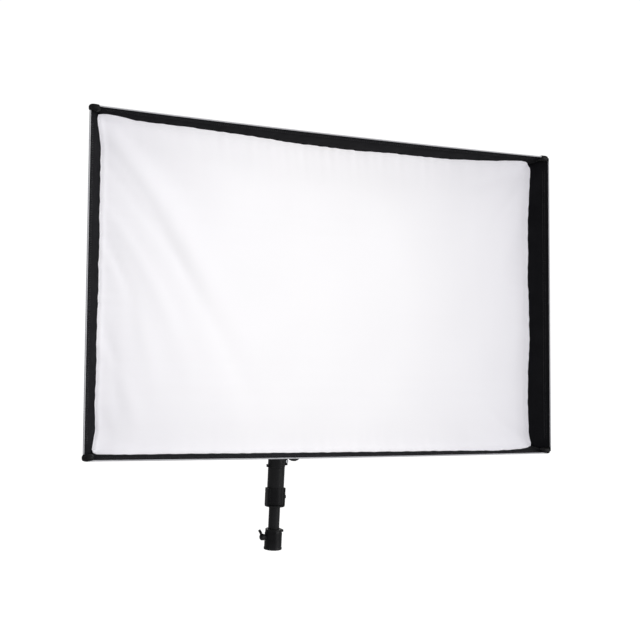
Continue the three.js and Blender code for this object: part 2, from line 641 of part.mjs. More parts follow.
function menuButton(side) {
  const { x, up, radius, flange, front, shoulder, back } = button;
  const [low, seat, top] = [behind(front), behind(shoulder), behind(back)];
  const body = turned([[0, low], [flange, low], [flange, seat], [radius, seat], [radius, top - 1],
    [radius - 1, top], [0, top]], SMALL_ROUND);
  return alongY(body).translate(side * x, 0, up);
}

function powerRocker() {
  const { x, up, depth, halfWidth, halfHeight, tilt } = rocker;
  const outline = [[-5, -halfHeight], [4.5, -halfHeight], [2.5, 0], [4.5, halfHeight], [-5, halfHeight]];
  const body = drawnAlongX(outline, -halfWidth, halfWidth).rotateX(degrees(tilt));
  return body.translate(x, behind(depth), up);
}

// A round socket with a square flange, whose open end is at the back.
function rearSocket({ barrel, bore, front, back, flange, up, mouth }, x) {
  const seat = behind(HEAD_BACK) + GAP;
  const shell = alongY(post(barrel, behind(front), behind(back), KNOB_ROUND));
  const plate = block(-flange, flange, seat, seat + SOCKET_FLANGE, -flange, flange);
  const hole = alongY(post(bore, behind(back) - mouth, behind(back) + PAST, KNOB_ROUND));
  return cut(joined(shell, plate), hole).translate(x, 0, up);
}

function grabHandle(side) {
  const { x, up, radius, reach, bend, foot, footThick } = handle;
  const seat = behind(HEAD_BACK) + GAP;
  const far = behind(reach);
  const point = (y, z) => new THREE.Vector3(0, y, z);
  const legs = [-1, 1].map((end) => [point(seat + PAST, end * up), point(far - bend, end * up)]);
  const bends = [-1, 1].map((end) => [point(far, end * up), point(far, end * (up - bend))]);
  const path = new THREE.CurvePath();
  path.add(new THREE.LineCurve3(...legs[0]));
  path.add(new THREE.QuadraticBezierCurve3(legs[0][1], ...bends[0]));
  path.add(new THREE.LineCurve3(bends[0][1], bends[1][1]));
  path.add(new THREE.QuadraticBezierCurve3(bends[1][1], bends[1][0], legs[1][1]));
  path.add(new THREE.LineCurve3(legs[1][1], legs[1][0]));
  const feet = [-up, up].map((z) => alongY(post(foot, seat, seat + footThick, KNOB_ROUND)).translate(0, 0, z));
  return joined(bentBar(path, radius, 24, 10), ...feet).translate(side * x, 0, 0);
}

const bezelFrame = border(HEAD_WIDTH / 2, halfHead, bezel.border, bezel.front, bezel.back);
place(head, "front_bezel", bezelFrame, POWDER);
place(head, "diffusion_panel", flatPlate(0, 0, tray.halfWidth, tray.halfHeight, panel), FROSTED);
place(head, "light_tray", lightTray(), WHITE_PAINT);
place(head, "rear_casing", rearCasing(), POWDER);
place(head, "heat_sink", heatSink(), BARE_ALUMINIUM);
place(head, "power_supply", powerSupply(), BARE_ALUMINIUM);
place(head, "driver_board", driverBoard(), CIRCUIT);
place(head, "fan_frame", fanFrame(), PLASTIC);
place(head, "fan_rotor", fanRotor(), PLASTIC);
place(head, "control_panel", controlPanel(), PLASTIC);
place(head, "display_window", flatPlate(0, screen.up, screen.halfWidth, screen.halfHeight, screen), SCREEN);
place(head, "power_switch", powerRocker(), PLASTIC);
place(head, "power_inlet", rearSocket(inlet, inlet.x), PLASTIC);
place(head, "data_in_socket", rearSocket(data, data.x[0]), STEEL);
place(head, "data_out_socket", rearSocket(data, data.x[1]), STEEL);
place(head, "colour_knob", dialKnob(-1), RUBBER);
place(head, "intensity_knob", dialKnob(1), RUBBER);
for (const [name, side] of SIDES) {
  const cap = headEndCap(side);
  place(head, "end_cap_" + name, side < 0 ? turnFaces(cap) : cap, POWDER);
  place(head, "led_board_" + name, ledBoard(side), CIRCUIT);
  place(head, "menu_button_" + name, menuButton(side), RUBBER);
  place(head, "grab_handle_" + name, grabHandle(side), RUBBER);
}

// ---------------------------------------------------------------- the softbox
// The softbox's outline at a depth, smaller by an inset.
function softboxAt(depth, inset = 0) {
  return {
    depth,
    halfWidth: FRONT_WIDTH / 2 - depth * SOFTBOX_SIDE_SLOPE - inset,
    halfHeight: FRONT_HEIGHT / 2 - depth * SOFTBOX_TOP_SLOPE - inset,
  };
}

// A block whose front and back are rectangles of different sizes.
function taperedBlock(front, back) {
  const shape = new THREE.BoxGeometry(2, 2, 2);
  const corners = shape.attributes.position;
  for (let i = 0; i < corners.count; i++) {
    const end = corners.getY(i) < 0 ? front : back;
    const [x, z] = [corners.getX(i) * end.halfWidth, corners.getZ(i) * end.halfHeight];
    corners.setXYZ(i, x, behind(end.depth), z);
  }
  return shape;
}

const CORNERS = [
  ["top_left", -1, 1],
  ["top_right", 1, 1],
  ["bottom_left", -1, -1],
  ["bottom_right", 1, -1],
];

// A box at a corner of the front, between distances from the middle lines, with room round it.
function cornerBox(across, up, room) {
  const xs = [across * (corner.inner - room), across * (corner.outer + room)].sort((a, b) => a - b);
  const zs = [up * (corner.low - room), up * (corner.high + room)].sort((a, b) => a - b);
  return block(...xs, behind(corner.front) - room, behind(corner.back) + room, ...zs);
}

function softboxShell() {
  const outer = taperedBlock(softboxAt(0), softboxAt(SOFTBOX_BACK));
  const inner = taperedBlock(softboxAt(-PAST, FABRIC), softboxAt(SOFTBOX_BACK + PAST, FABRIC));
  return cut(outer, inner, ...CORNERS.map(([, across, up]) => cornerBox(across, up, GAP)));
}

// The white cloth across the recess, with its corners cut off beside the stays.
function frontDiffuser() {
  const inset = FABRIC + 2 * GAP;
  const sheet = taperedBlock(softboxAt(RECESS, inset), softboxAt(RECESS + CLOTH, inset));
  const { halfWidth, halfHeight } = softboxAt(RECESS, inset);
  const cuts = CORNERS.map(([, across, up]) => {
    const half = CLOTH_CORNER_CUT / Math.SQRT2;
    const tool = block(-2 * half, 2 * half, -PAST, CLOTH + PAST, -half, half);
    tool.rotateY((across * up * Math.PI) / 4);
    const shift = CLOTH_CORNER_CUT / 2 + half / Math.SQRT2;
    const x = across * (halfWidth - CLOTH_CORNER_CUT + shift);
    const z = up * (halfHeight - CLOTH_CORNER_CUT + shift);
    return tool.translate(x, behind(RECESS), z);
  });
  return cut(sheet, ...cuts);
}

function cornerCap(across, up) {
  const [halfWidth, halfHeight] = [(corner.outer - corner.inner) / 2, (corner.high - corner.low) / 2];
  const { bevel, round } = corner;
  const shape = roundedRectangle(halfWidth - bevel, halfHeight - bevel, round);
  const depth = corner.back - corner.front - 2 * bevel;
  const options = { depth, curveSegments: 3, bevelThickness: bevel, bevelSize: bevel, bevelSegments: 1 };
  const cap = new THREE.ExtrudeGeometry(shape, options).rotateX(Math.PI / 2);
  const [x, z] = [across * (corner.inner + halfWidth), up * (corner.low + halfHeight)];
  return cap.translate(x, behind(corner.back) - bevel, z);
}

const rearFrame = border(frame.halfWidth, frame.halfHeight, frame.band, frame.front, frame.back);
place(head, "softbox_rear_frame", rearFrame, PLASTIC);
place(head, "softbox_shell", softboxShell(), FABRIC_BLACK);
place(head, "front_diffuser", frontDiffuser(), CLOTH_WHITE);
for (const [name, across, up] of CORNERS) {
  const end = ([x, z, depth]) => [across * x, behind(depth), up * z];
  place(head, "corner_cap_" + name, cornerCap(across, up), PLASTIC);
  place(head, "corner_rod_" + name, straightBar(end(stay.back), end(stay.front), stay.radius), STEEL);
}

export default part;
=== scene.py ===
# A large LED panel light: a fabric softbox on its lamp head, on a yoke and the top of its stand.
# Metres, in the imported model's frame. MM turns a size in millimetres into metres.
import json
import math

import bmesh
import bpy
import numpy as np
from mathutils import Matrix, Vector

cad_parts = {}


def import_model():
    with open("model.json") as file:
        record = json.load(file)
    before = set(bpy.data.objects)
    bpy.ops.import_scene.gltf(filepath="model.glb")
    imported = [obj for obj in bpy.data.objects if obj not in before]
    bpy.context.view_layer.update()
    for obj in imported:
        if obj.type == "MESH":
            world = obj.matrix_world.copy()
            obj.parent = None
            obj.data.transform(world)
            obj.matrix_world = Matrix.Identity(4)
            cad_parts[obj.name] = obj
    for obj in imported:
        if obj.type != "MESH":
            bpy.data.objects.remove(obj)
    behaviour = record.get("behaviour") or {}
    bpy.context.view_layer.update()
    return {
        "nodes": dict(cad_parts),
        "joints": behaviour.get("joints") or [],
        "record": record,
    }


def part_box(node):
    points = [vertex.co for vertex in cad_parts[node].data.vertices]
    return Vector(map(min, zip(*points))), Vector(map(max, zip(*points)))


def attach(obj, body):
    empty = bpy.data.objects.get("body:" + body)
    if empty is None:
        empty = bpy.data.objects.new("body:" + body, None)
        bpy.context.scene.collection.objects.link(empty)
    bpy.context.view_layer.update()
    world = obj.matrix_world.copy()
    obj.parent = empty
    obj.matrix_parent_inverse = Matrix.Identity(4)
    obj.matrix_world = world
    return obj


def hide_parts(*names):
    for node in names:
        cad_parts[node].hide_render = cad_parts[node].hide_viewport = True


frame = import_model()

MM = 0.001

# ---------------------------------------------------------------- the frame
JOINTS = {joint["name"]: joint for joint in frame["joints"]}
BODY_OF = {
    node: body
    for body, nodes in frame["record"]["behaviour"]["bodies"].items()
    for node in nodes
}
SLOT_OF = {part["node"]: part["material_slot"] for part in frame["record"]["subparts"]}
PIVOT = Vector(JOINTS["tilt"]["pos_m"])
BACK = Vector(JOINTS["fan_spin"]["axis"])  # the head's depth, from its lit front to its rear face
UP = Vector((0, -BACK.z, BACK.y))  # the head's height
RIGHT = Vector((1, 0, 0))

shell_low, shell_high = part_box("softbox_shell")
HALF_WIDTH = shell_high.x
HALF_HEIGHT = (shell_high.z - shell_low.z) / 2 / UP.z
FRONT_TO_PIVOT = ((shell_high.z + shell_low.z) / 2 - PIVOT.z) / UP.y


def at(x, depth, up):
    """A point of the tilted head: across, behind the softbox's front edge, and above the tilt axis."""
    return PIVOT + RIGHT * x + BACK * (depth - FRONT_TO_PIVOT) + UP * up


def all_at(points):
    """The same for an array of (x, depth, up)."""
    axes = np.array([RIGHT, BACK, UP])
    return (points - np.array([0, FRONT_TO_PIVOT, 0])) @ axes + np.array(PIVOT)


class HeadBox:
    """The box that a node of the head fills, in the head's own directions."""

    def __init__(self, node):
        low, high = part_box(node)
        middle, half = (low + high) / 2, (high - low) / 2
        cos, sin = UP.z, UP.y
        double = cos * cos - sin * sin
        half_depth = (half.y * cos - half.z * sin) / double
        half_up = (half.z * cos - half.y * sin) / double
        depth = FRONT_TO_PIVOT + middle.y * cos - (middle.z - PIVOT.z) * sin
        up = middle.y * sin + (middle.z - PIVOT.z) * cos
        self.middle = Vector((middle.x, depth, up))
        self.half = (half.x, half_depth, half_up)
        self.left, self.right = low.x, high.x
        self.front, self.back = depth - half_depth, depth + half_depth
        self.low, self.high = up - half_up, up + half_up


# ---------------------------------------------------------------- node materials
class Look:
    """A procedural material, whose patterns lie in the object's own coordinates."""

    def __init__(self, name, **sockets):
        self.material = bpy.data.materials.new(name)
        self.material.use_nodes = True
        self.tree = self.material.node_tree
        self.shader = self.tree.nodes["Principled BSDF"]
        for socket, value in sockets.items():
            self.shader.inputs[socket.replace("_", " ")].default_value = value
        self.place = self.tree.nodes.new("ShaderNodeTexCoord").outputs["Object"]

    def node(self, kind, settings=(), **inputs):
        made = self.tree.nodes.new("ShaderNode" + kind)
        for key, value in dict(settings).items():
            setattr(made, key, value)
        for key, value in inputs.items():
            socket = made.inputs[int(key[1:]) if key[0] == "n" and key[1:].isdigit() else key]
            if isinstance(value, bpy.types.NodeSocket):
                self.tree.links.new(value, socket)
            else:
                socket.default_value = value
        return made

    def noise(self, size, detail=3.0, stretch=(1, 1, 1)):
        """Noise whose lumps are about size wide, and wider along an axis by the stretch."""
        scale = tuple(1 / s for s in stretch)
        place = self.node("Mapping", Vector=self.place, Scale=scale).outputs[0]
        return self.node("TexNoise", Vector=place, Scale=1 / size, Detail=detail).outputs["Fac"]

    def ribs(self, pitch, axis):
        """Parallel ribs, a pitch apart along an axis."""
        settings = {"bands_direction": axis}
        wave = self.node("TexWave", settings, Vector=self.place, Scale=0.314 / pitch)
        return wave.outputs["Fac"]

    def sum(self, *weighted):
        """The sum of (socket, weight) pairs."""
        total = 0.0
        for socket, weight in weighted:
            settings = {"operation": "MULTIPLY_ADD"}
            total = self.node("Math", settings, n0=socket, n1=weight, n2=total).outputs[0]
        return total

    def ramp(self, factor, *stops):
        """Colours or levels at places along 0 to 1."""
        made = self.node("ValToRGB", Fac=factor)
        elements = made.color_ramp.elements
        while len(elements) < len(stops):
            elements.new(0.5)
        for element, (place, value) in zip(elements, stops):
            element.position = place
            element.color = (*value, 1) if hasattr(value, "__len__") else (value, value, value, 1)
        return made.outputs["Color"]

    def mix(self, factor, first, second):
        inputs = {"n0": factor, "n6": first, "n7": second}
        return self.node("Mix", {"data_type": "RGBA"}, **inputs).outputs[2]

    def edges(self, low, high):
        """1 on worn outer edges, 0 on flats."""
        point = self.node("NewGeometry").outputs["Pointiness"]
        inputs = {"Value": point, "From Min": low, "From Max": high}
        return self.node("MapRange", **inputs).outputs[0]

    def feed(self, socket, value):
        self.tree.links.new(value, self.shader.inputs[socket])

    def vary(self, socket, size, *stops, detail=3.0):
        """Feeds a socket from patches about size wide, between colours or levels."""
        self.feed(socket, self.ramp(self.noise(size, detail), *stops))

    def bump(self, height, distance, strength):
        made = self.node("Bump", Height=height, Distance=distance, Strength=strength)
        self.feed("Normal", made.outputs[0])


def black_fabric_look():
    """Matt woven nylon."""
    look = Look("black_woven_nylon", Specular_IOR_Level=0.06, Sheen_Weight=0.05, Sheen_Roughness=0.35)
    weave = look.sum(*((look.ribs(1.7 * MM, axis), 0.33) for axis in "XYZ"))
    dark, pale = (0.0075, 0.0075, 0.009), (0.0115, 0.0115, 0.0135)
    look.vary("Base Color", 60 * MM, (0.3, dark), (0.75, pale), detail=4)
    look.vary("Roughness", 25 * MM, (0.3, 0.78), (0.7, 0.92))
    look.bump(look.sum((weave, 1.0), (look.noise(9 * MM, 5), 0.8)), 0.35 * MM, 0.7)
    return look.material


def white_cloth_look():
    """Soft white diffusion cloth, glowing with the lamp's light from behind. The glow is brightest a little
    left of the middle and fades to a dim lavender at the rim, which also paints shade on the right side and
    along the walls.
    """
    look = Look("white_diffusion_cloth", Specular_IOR_Level=0.1, Emission_Strength=0.36)
    weave = look.sum((look.ribs(1.1 * MM, "X"), 0.5), (look.ribs(1.1 * MM, "Z"), 0.5))
    look.vary("Base Color", 150 * MM, (0.3, (0.780, 0.772, 0.802)), (0.7, (0.802, 0.794, 0.824)))
    look.vary("Roughness", 20 * MM, (0.3, 0.8), (0.7, 0.92))
    look.bump(look.sum((weave, 0.5), (look.noise(3 * MM, 4), 0.5)), 0.05 * MM, 0.4)
    # The glow's centre sits 40 mm left of the middle, so the glow fades sooner to the right: painted shade on
    # the right side.
    middle = at(-0.04, 0.0, 0.0).to_tuple()
    spread = (1 / 0.60, 0.0, 1 / 0.75)
    offset = look.node("VectorMath", {"operation": "SUBTRACT"}, n0=look.place, n1=middle).outputs[0]
    scaled = look.node("VectorMath", {"operation": "MULTIPLY"}, n0=offset, n1=spread).outputs[0]
    reach = look.node("VectorMath", {"operation": "LENGTH"}, n0=scaled).outputs["Value"]
    # From a hot middle to a dim lavender rim: partly the lamp's own falloff, partly painted shade beside the
    # walls.
    hot, warm, rim_glow_and_painted_shade = (1.0, 0.985, 0.96), (0.92, 0.905, 0.90), (0.50, 0.49, 0.54)
    look.feed("Emission Color", look.ramp(reach, (0.0, hot), (0.4, warm), (1.0, rim_glow_and_painted_shade)))
    return look.material


def tape_look(name, colour, pitch):
    """Ribbed binding tape or webbing."""
    look = Look(name, Specular_IOR_Level=0.25, Sheen_Weight=0.2, Sheen_Roughness=0.4)
    dark = tuple(0.78 * c for c in colour)
    ribs = look.sum((look.ribs(pitch, "X"), 0.5), (look.ribs(pitch, "Z"), 0.5))
    look.feed("Base Color", look.mix(look.noise(15 * MM, 5), (*dark, 1), (*colour, 1)))
    look.vary("Roughness", 8 * MM, (0.3, 0.55), (0.7, 0.75))
    look.bump(ribs, 0.25 * MM, 0.8)
    return look.material


WORN_EDGE = (0.05, 0.05, 0.052, 1)


def painted_look(name, colour, grain, height, rough, specular):
    """A black finish with a fine grain, faint handling marks and worn edges."""
    look = Look(name, Specular_IOR_Level=specular)
    lighter = tuple(1.7 * c + 0.002 for c in colour)
    body = look.ramp(look.noise(35 * MM, 5), (0.35, colour), (0.8, lighter))
    look.feed("Base Color", look.mix(look.edges(0.52, 0.6), body, WORN_EDGE))
    marks = look.noise(12 * MM, 6, stretch=(1, 1, 5))
    look.feed("Roughness", look.ramp(marks, (0.3, rough - 0.08), (0.7, rough + 0.1)))
    look.bump(look.sum((look.noise(grain, 3), 1.0), (look.noise(6 * grain, 2), 0.6)), height, 0.8)
    return look.material


def metal_look(name, colour, rough, stretch):
    """Bare metal with fine drawn lines along one direction."""
    look = Look(name, Metallic=1.0)
    dark = tuple(0.72 * c for c in colour)
    lines = look.noise(1.2 * MM, 4, stretch=stretch)
    look.feed("Base Color", look.mix(look.noise(14 * MM, 5), (*dark, 1), (*colour, 1)))
    look.feed("Roughness", look.ramp(lines, (0.3, rough - 0.08), (0.7, rough + 0.12)))
    look.bump(lines, 0.03 * MM, 0.6)
    return look.material


def rubber_look():
    look = Look("black_rubber", Specular_IOR_Level=0.25)
    look.vary("Base Color", 20 * MM, (0.3, (0.010, 0.010, 0.010)), (0.8, (0.022, 0.022, 0.022)), detail=5)
    look.vary("Roughness", 7 * MM, (0.3, 0.72), (0.7, 0.9))
    look.bump(look.noise(0.9 * MM, 2), 0.12 * MM, 0.8)
    return look.material


def board_look():
    """White solder mask with fine tracks."""
    look = Look("circuit_board", Specular_IOR_Level=0.5)
    tracks = look.ramp(look.ribs(4 * MM, "X"), (0.80, 0.0), (0.86, 1.0))
    cross = look.ramp(look.ribs(11 * MM, "Z"), (0.90, 0.0), (0.93, 1.0))
    both = look.node("Math", {"operation": "MAXIMUM"}, n0=tracks, n1=cross).outputs[0]
    look.feed("Base Color", look.mix(both, (0.72, 0.75, 0.70, 1), (0.50, 0.56, 0.48, 1)))
    look.vary("Roughness", 30 * MM, (0.3, 0.35), (0.7, 0.5))
    look.bump(both, 0.08 * MM, 0.8)
    return look.material


def pale_look(name, colour, rough):
    """Matt white paint or frosted plastic."""
    look = Look(name, Specular_IOR_Level=0.3)
    dark = tuple(0.93 * c for c in colour)
    look.feed("Base Color", look.mix(look.noise(50 * MM, 5), (*dark, 1), (*colour, 1)))
    look.vary("Roughness", 10 * MM, (0.3, rough - 0.06), (0.7, rough + 0.08))
    look.bump(look.noise(1.1 * MM, 3), 0.05 * MM, 0.6)
    return look.material


def glass_look():
    """The dark display window, with faint wiping marks."""
    look = Look("dark_display_glass", Specular_IOR_Level=0.5, Coat_Weight=0.6, Coat_Roughness=0.04)
    look.vary("Base Color", 40 * MM, (0.3, (0.006, 0.008, 0.010)), (0.7, (0.010, 0.013, 0.016)))
    look.feed("Roughness", look.ramp(look.noise(16 * MM, 6, stretch=(4, 1, 1)), (0.35, 0.08), (0.75, 0.22)))
    look.bump(look.noise(30 * MM), 0.02 * MM, 0.2)
    return look.material


LOOKS = {
    "black_casting": painted_look(
        "satin_black_casting", (0.0085, 0.0085, 0.0095), 0.8 * MM, 0.04 * MM, rough=0.3, specular=0.12
    ),
    "black_tube": painted_look(
        "black_anodised_tube", (0.007, 0.007, 0.008), 0.5 * MM, 0.02 * MM, rough=0.28, specular=0.1
    ),
    "black_plastic": painted_look(
        "moulded_black_plastic", (0.005, 0.005, 0.0055), 0.7 * MM, 0.05 * MM, rough=0.4, specular=0.1
    ),
    "black_powder_coat": painted_look(
        "black_powder_coat", (0.007, 0.007, 0.008), 1.0 * MM, 0.07 * MM, rough=0.45, specular=0.25
    ),
    "black_rubber": rubber_look(),
    "brass": metal_look("turned_brass", (0.62, 0.43, 0.18), 0.35, (6, 1, 1)),
    "zinc_steel": metal_look("zinc_plated_steel", (0.50, 0.51, 0.53), 0.32, (1, 6, 1)),
    "spring_steel": metal_look("drawn_spring_steel", (0.40, 0.41, 0.43), 0.35, (1, 8, 1)),
    "bare_aluminium": metal_look("extruded_aluminium", (0.62, 0.63, 0.65), 0.4, (1, 1, 12)),
    "white_paint": pale_look("matt_white_paint", (0.80, 0.80, 0.78), 0.7),
    "frosted_plastic": pale_look("frosted_plastic", (0.80, 0.81, 0.84), 0.45),
    "circuit_board": board_look(),
    "dark_glass": glass_look(),
    "black_fabric": black_fabric_look(),
    "white_cloth": white_cloth_look(),
}
SILVER_TAPE = tape_look("silver_grey_binding", (0.62, 0.62, 0.65), 1.4 * MM)
BLACK_TAPE = tape_look("black_webbing", (0.020, 0.020, 0.022), 1.8 * MM)
BLACK_THREAD = tape_look("black_thread", (0.045, 0.045, 0.050), 0.6 * MM)
WHITE_MARK = pale_look("white_print", (0.62, 0.62, 0.62), 0.6)


# ---------------------------------------------------------------- making pieces
def placed(name, data):
    """A new object in the scene."""
    obj = bpy.data.objects.new(name, data)
    bpy.context.scene.collection.objects.link(obj)
    return obj


def piece(name, mesh, look, body, stands_for=()):
    """A finished object that rides on a body."""
    if isinstance(mesh, bmesh.types.BMesh):
        made = bpy.data.meshes.new(name)
        mesh.to_mesh(made)
        mesh.free()
        mesh = made
    mesh.name = name
    mesh.materials.clear()
    mesh.materials.append(look)
    mesh.polygons.foreach_set("use_smooth", [True] * len(mesh.polygons))
    obj = placed(name, mesh)
    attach(obj, body)
    if stands_for:
        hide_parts(*stands_for)
    return obj


def face_outwards(made):
    bmesh.ops.recalc_face_normals(made, faces=made.faces)


def even_normals(obj):
    """Keeps the shading of flat faces flat beside rounded edges."""
    modifier = obj.modifiers.new("normals", "WEIGHTED_NORMAL")
    modifier.keep_sharp = True
    modifier.weight = 80


PLATES = ("rear_casing", "control_panel")  # wide faces with holes, where arcs would leave slivers


def refined(node, edge):
    """A CAD node again with its edges rounded, its round sides smooth and its flat faces flat."""
    made = bmesh.new()
    made.from_mesh(frame["nodes"][node].data)
    bmesh.ops.remove_doubles(made, verts=made.verts, dist=1e-6)
    flat, sharp = math.radians(1), math.radians(32)
    curved = [any(flat < e.calc_face_angle(0) < sharp for e in face.edges) for face in made.faces]
    slot = SLOT_OF[node]
    obj = piece(node + "_fine", made, LOOKS[slot], BODY_OF[node], [node])
    obj.data.polygons.foreach_set("use_smooth", curved)
    bevel = obj.modifiers.new("edges", "BEVEL")
    bevel.width = edge
    bevel.segments = 2
    bevel.limit_method = "ANGLE"
    bevel.angle_limit = sharp
    bevel.use_clamp_overlap = False
    bevel.miter_outer = "MITER_SHARP" if node in PLATES else "MITER_ARC"
    even_normals(obj)


def pole(axis, start):
    """The matrix that lays Z along an axis, from a start."""
    return Matrix.Translation(start) @ Vector(axis).to_track_quat("Z", "Y").to_matrix().to_4x4()


def add_turned(made, profile, matrix, sides, hexagon=()):
    """Adds a solid of revolution. The profile is (radius, height) pairs; the listed rings are hexagons."""
    rings = []
    for index, (radius, height) in enumerate(profile):
        if radius == 0:
            rings.append([made.verts.new(matrix @ Vector((0, 0, height)))])
            continue
        ring = []
        for i in range(sides):
            angle = 2 * math.pi * i / sides
            corner = (angle + math.pi / 6) % (math.pi / 3) - math.pi / 6
            r = radius / math.cos(corner) if index in hexagon else radius
            ring.append(made.verts.new(matrix @ Vector((r * math.cos(angle), r * math.sin(angle), height))))
        rings.append(ring)
    for low, high in zip(rings, rings[1:]):
        for i in range(sides):
            j = (i + 1) % sides
            corners = [low[i % len(low)], low[j % len(low)], high[j % len(high)], high[i % len(high)]]
            unique = list(dict.fromkeys(corners))
            if len(unique) > 2:
                made.faces.new(unique)


def join_rings(made, rings, closed):
    """Adds the faces between neighbouring rings of points, and from the last to the first if closed."""
    for low, high in zip(rings, rings[1:] + rings[:1] if closed else rings[1:]):
        for i in range(len(low)):
            j = (i + 1) % len(low)
            made.faces.new([low[i], low[j], high[j], high[i]])


def add_ring(made, profile, matrix, sides):
    """Adds a ring whose section is a closed profile of (radius, height) pairs."""
    rings = [
        [
            made.verts.new(matrix @ Vector((r * math.cos(a), r * math.sin(a), h)))
            for a in (2 * math.pi * i / sides for i in range(sides))
        ]
        for r, h in profile
    ]
    join_rings(made, rings, True)


def add_swept(made, path, section, across, closed=False):
    """Adds a bar along a path. The section is (across, aside) pairs, and across is a direction."""
    path = [Vector(point) for point in path]
    rings = []
    count = len(path)
    for i, point in enumerate(path):
        before = path[i - 1] if i or closed else point
        after = path[(i + 1) % count] if i < count - 1 or closed else point
        along = (after - before).normalized()
        aside = along.cross(across).normalized()
        first = aside.cross(along).normalized()
        rings.append([made.verts.new(point + first * a + aside * b) for a, b in section])
    join_rings(made, rings, closed)
    if not closed:
        made.faces.new(list(reversed(rings[0])))
        made.faces.new(rings[-1])


def round_section(radius, sides):
    """The points of a circle."""
    angles = [2 * math.pi * i / sides for i in range(sides)]
    return [(radius * math.cos(a), radius * math.sin(a)) for a in angles]


def add_block(made, middle, half, axes, edge=0.0):
    """Adds a box, with cut edges where they are given a width."""
    matrix = Matrix.Identity(4)
    for i, (axis, size) in enumerate(zip(axes, half)):
        for j in range(3):
            matrix[j][i] = axis[j] * size * 2
    matrix = Matrix.Translation(middle) @ matrix
    cube = bmesh.ops.create_cube(made, size=1, matrix=matrix)
    if edge:
        edges = list(dict.fromkeys(e for vert in cube["verts"] for e in vert.link_edges))
        bmesh.ops.bevel(made, geom=edges, offset=edge, segments=1, profile=0.5, affect="EDGES")


def outline_of(grid):
    """What lies round a grid's edge, in order, without repeats."""
    return np.concatenate([grid[:, 0], grid[-1, 1:], grid[-2::-1, -1], grid[0, -2:0:-1]])


def sheet_mesh(name, points, thickness, flip):
    """A closed thin sheet on a grid of points, with its thickness on one side of them, or on the other."""
    rows, columns = points.shape[:2]
    along = np.gradient(points, axis=0)
    across = np.gradient(points, axis=1)
    normal = np.cross(along, across)
    normal /= np.linalg.norm(normal, axis=2, keepdims=True)
    inside = points + normal * (thickness if flip else -thickness)
    index = np.arange(rows * columns).reshape(rows, columns)
    corners = [index[:-1, :-1], index[1:, :-1], index[1:, 1:], index[:-1, 1:]]
    outer = np.stack(corners, axis=2).reshape(-1, 4)
    inner = outer[:, ::-1] + rows * columns
    rim = outline_of(index)
    after = np.roll(rim, -1)
    side = np.stack([rim, rim + rows * columns, after + rows * columns, after], axis=1)
    faces = np.concatenate([outer, inner, side])
    if flip:
        faces = faces[:, ::-1]
    mesh = bpy.data.meshes.new(name)
    vertices = np.concatenate([points.reshape(-1, 3), inside.reshape(-1, 3)])
    mesh.from_pydata(vertices.tolist(), [], faces.tolist())
    return mesh


# ---------------------------------------------------------------- the softbox
REAR = HeadBox("softbox_rear_frame")
SHELL_DEPTH = (REAR.front + REAR.back) / 2  # the walls are sewn round the rear frame
SHELL_THICKNESS = 1.2 * MM
SIDE_SLOPE = (HALF_WIDTH - REAR.right - SHELL_THICKNESS) / SHELL_DEPTH
TOP_SLOPE = (HALF_HEIGHT - REAR.high - SHELL_THICKNESS) / SHELL_DEPTH
WALL_STEP, WALL_ROWS = 3.6 * MM, 30  # of the walls' grids, along half a side and from front to back
# How far each wall's front edge flares outwards, over a short depth, and how far its edge and its middle sag.
FLARE = {"top": 2.3 * MM, "bottom": 4.4 * MM, "left": 1.6 * MM, "right": 3.9 * MM}
FLARE_DEPTH = 14 * MM
EDGE_SAG = {"top": 4.3 * MM, "bottom": 1.9 * MM, "left": 0.0, "right": 0.0}
WALL_SAG = {"top": 2.0 * MM, "bottom": 2.0 * MM, "left": 1.5 * MM, "right": 1.5 * MM}
PIPING_RADIUS, PIPING_INSET = 1.4 * MM, 0.6 * MM
PIPING_END, STITCHING_END, SEAM_START = 9 * MM, 26 * MM, 6 * MM  # how far these stay from a corner
SEAM_RADIUS = 1.8 * MM
STITCH_LENGTH, STITCH_GAP, STITCH_THICKNESS = 3.0 * MM, 1.8 * MM, 0.35 * MM
FRONT_ROWS, REAR_ROW = (7.5 * MM, 11 * MM), SHELL_DEPTH - 9 * MM  # the depths of the rows of stitches
SIDES = ("top", "bottom", "left", "right")
CORNERS = [("top_left", -1, 1), ("bottom_left", -1, -1), ("top_right", 1, 1), ("bottom_right", 1, -1)]


def half_length(side):
    """Half the length of a side's front edge."""
    return HALF_WIDTH if side in ("top", "bottom") else HALF_HEIGHT


def ripple(side, along, depth):
    """Shallow wrinkles in a wall, deepest half way back and beside the corners."""
    s, d = along * half_length(side) / MM, depth / MM
    phase = {"top": 0.0, "bottom": 1.7, "left": 3.1, "right": 4.4}[side]
    slant = np.sin(s / 31 + d / 19 + phase) + 0.7 * np.sin(s / 17 - d / 23 + 2 * phase)
    waves = slant + 0.5 * np.sin(s / 9.5 + d / 40 + phase)
    near_ends = 0.35 + 0.65 * np.abs(along) ** 6
    return 0.55 * MM * waves * near_ends * np.sin(np.pi * np.clip(depth / SHELL_DEPTH, 0, 1)) ** 0.7


def wall(side, along, depth, inset=0.0):
    """(x, depth, up) of a wall's outer face, where along runs from -1 to 1, moved inwards by an inset."""
    along, depth = np.broadcast_arrays(np.asarray(along, float), np.asarray(depth, float))
    half_width = HALF_WIDTH - SIDE_SLOPE * depth
    half_height = HALF_HEIGHT - TOP_SLOPE * depth
    back = np.clip(depth / SHELL_DEPTH, 0, 1)
    belly = 1 - along**2
    sag = belly * (EDGE_SAG[side] * (1 - back) + WALL_SAG[side] * np.sin(np.pi * back))
    rippled = ripple(side, along, depth) + FLARE[side] * np.exp(-((depth / FLARE_DEPTH) ** 2))
    if side == "top":
        return np.stack([along * half_width, depth, half_height - sag - inset + rippled], -1)
    if side == "bottom":
        return np.stack([along * half_width, depth, inset - half_height - sag - rippled], -1)
    sign = -1 if side == "left" else 1
    return np.stack([sign * (half_width - sag - inset + rippled), depth, along * half_height], -1)


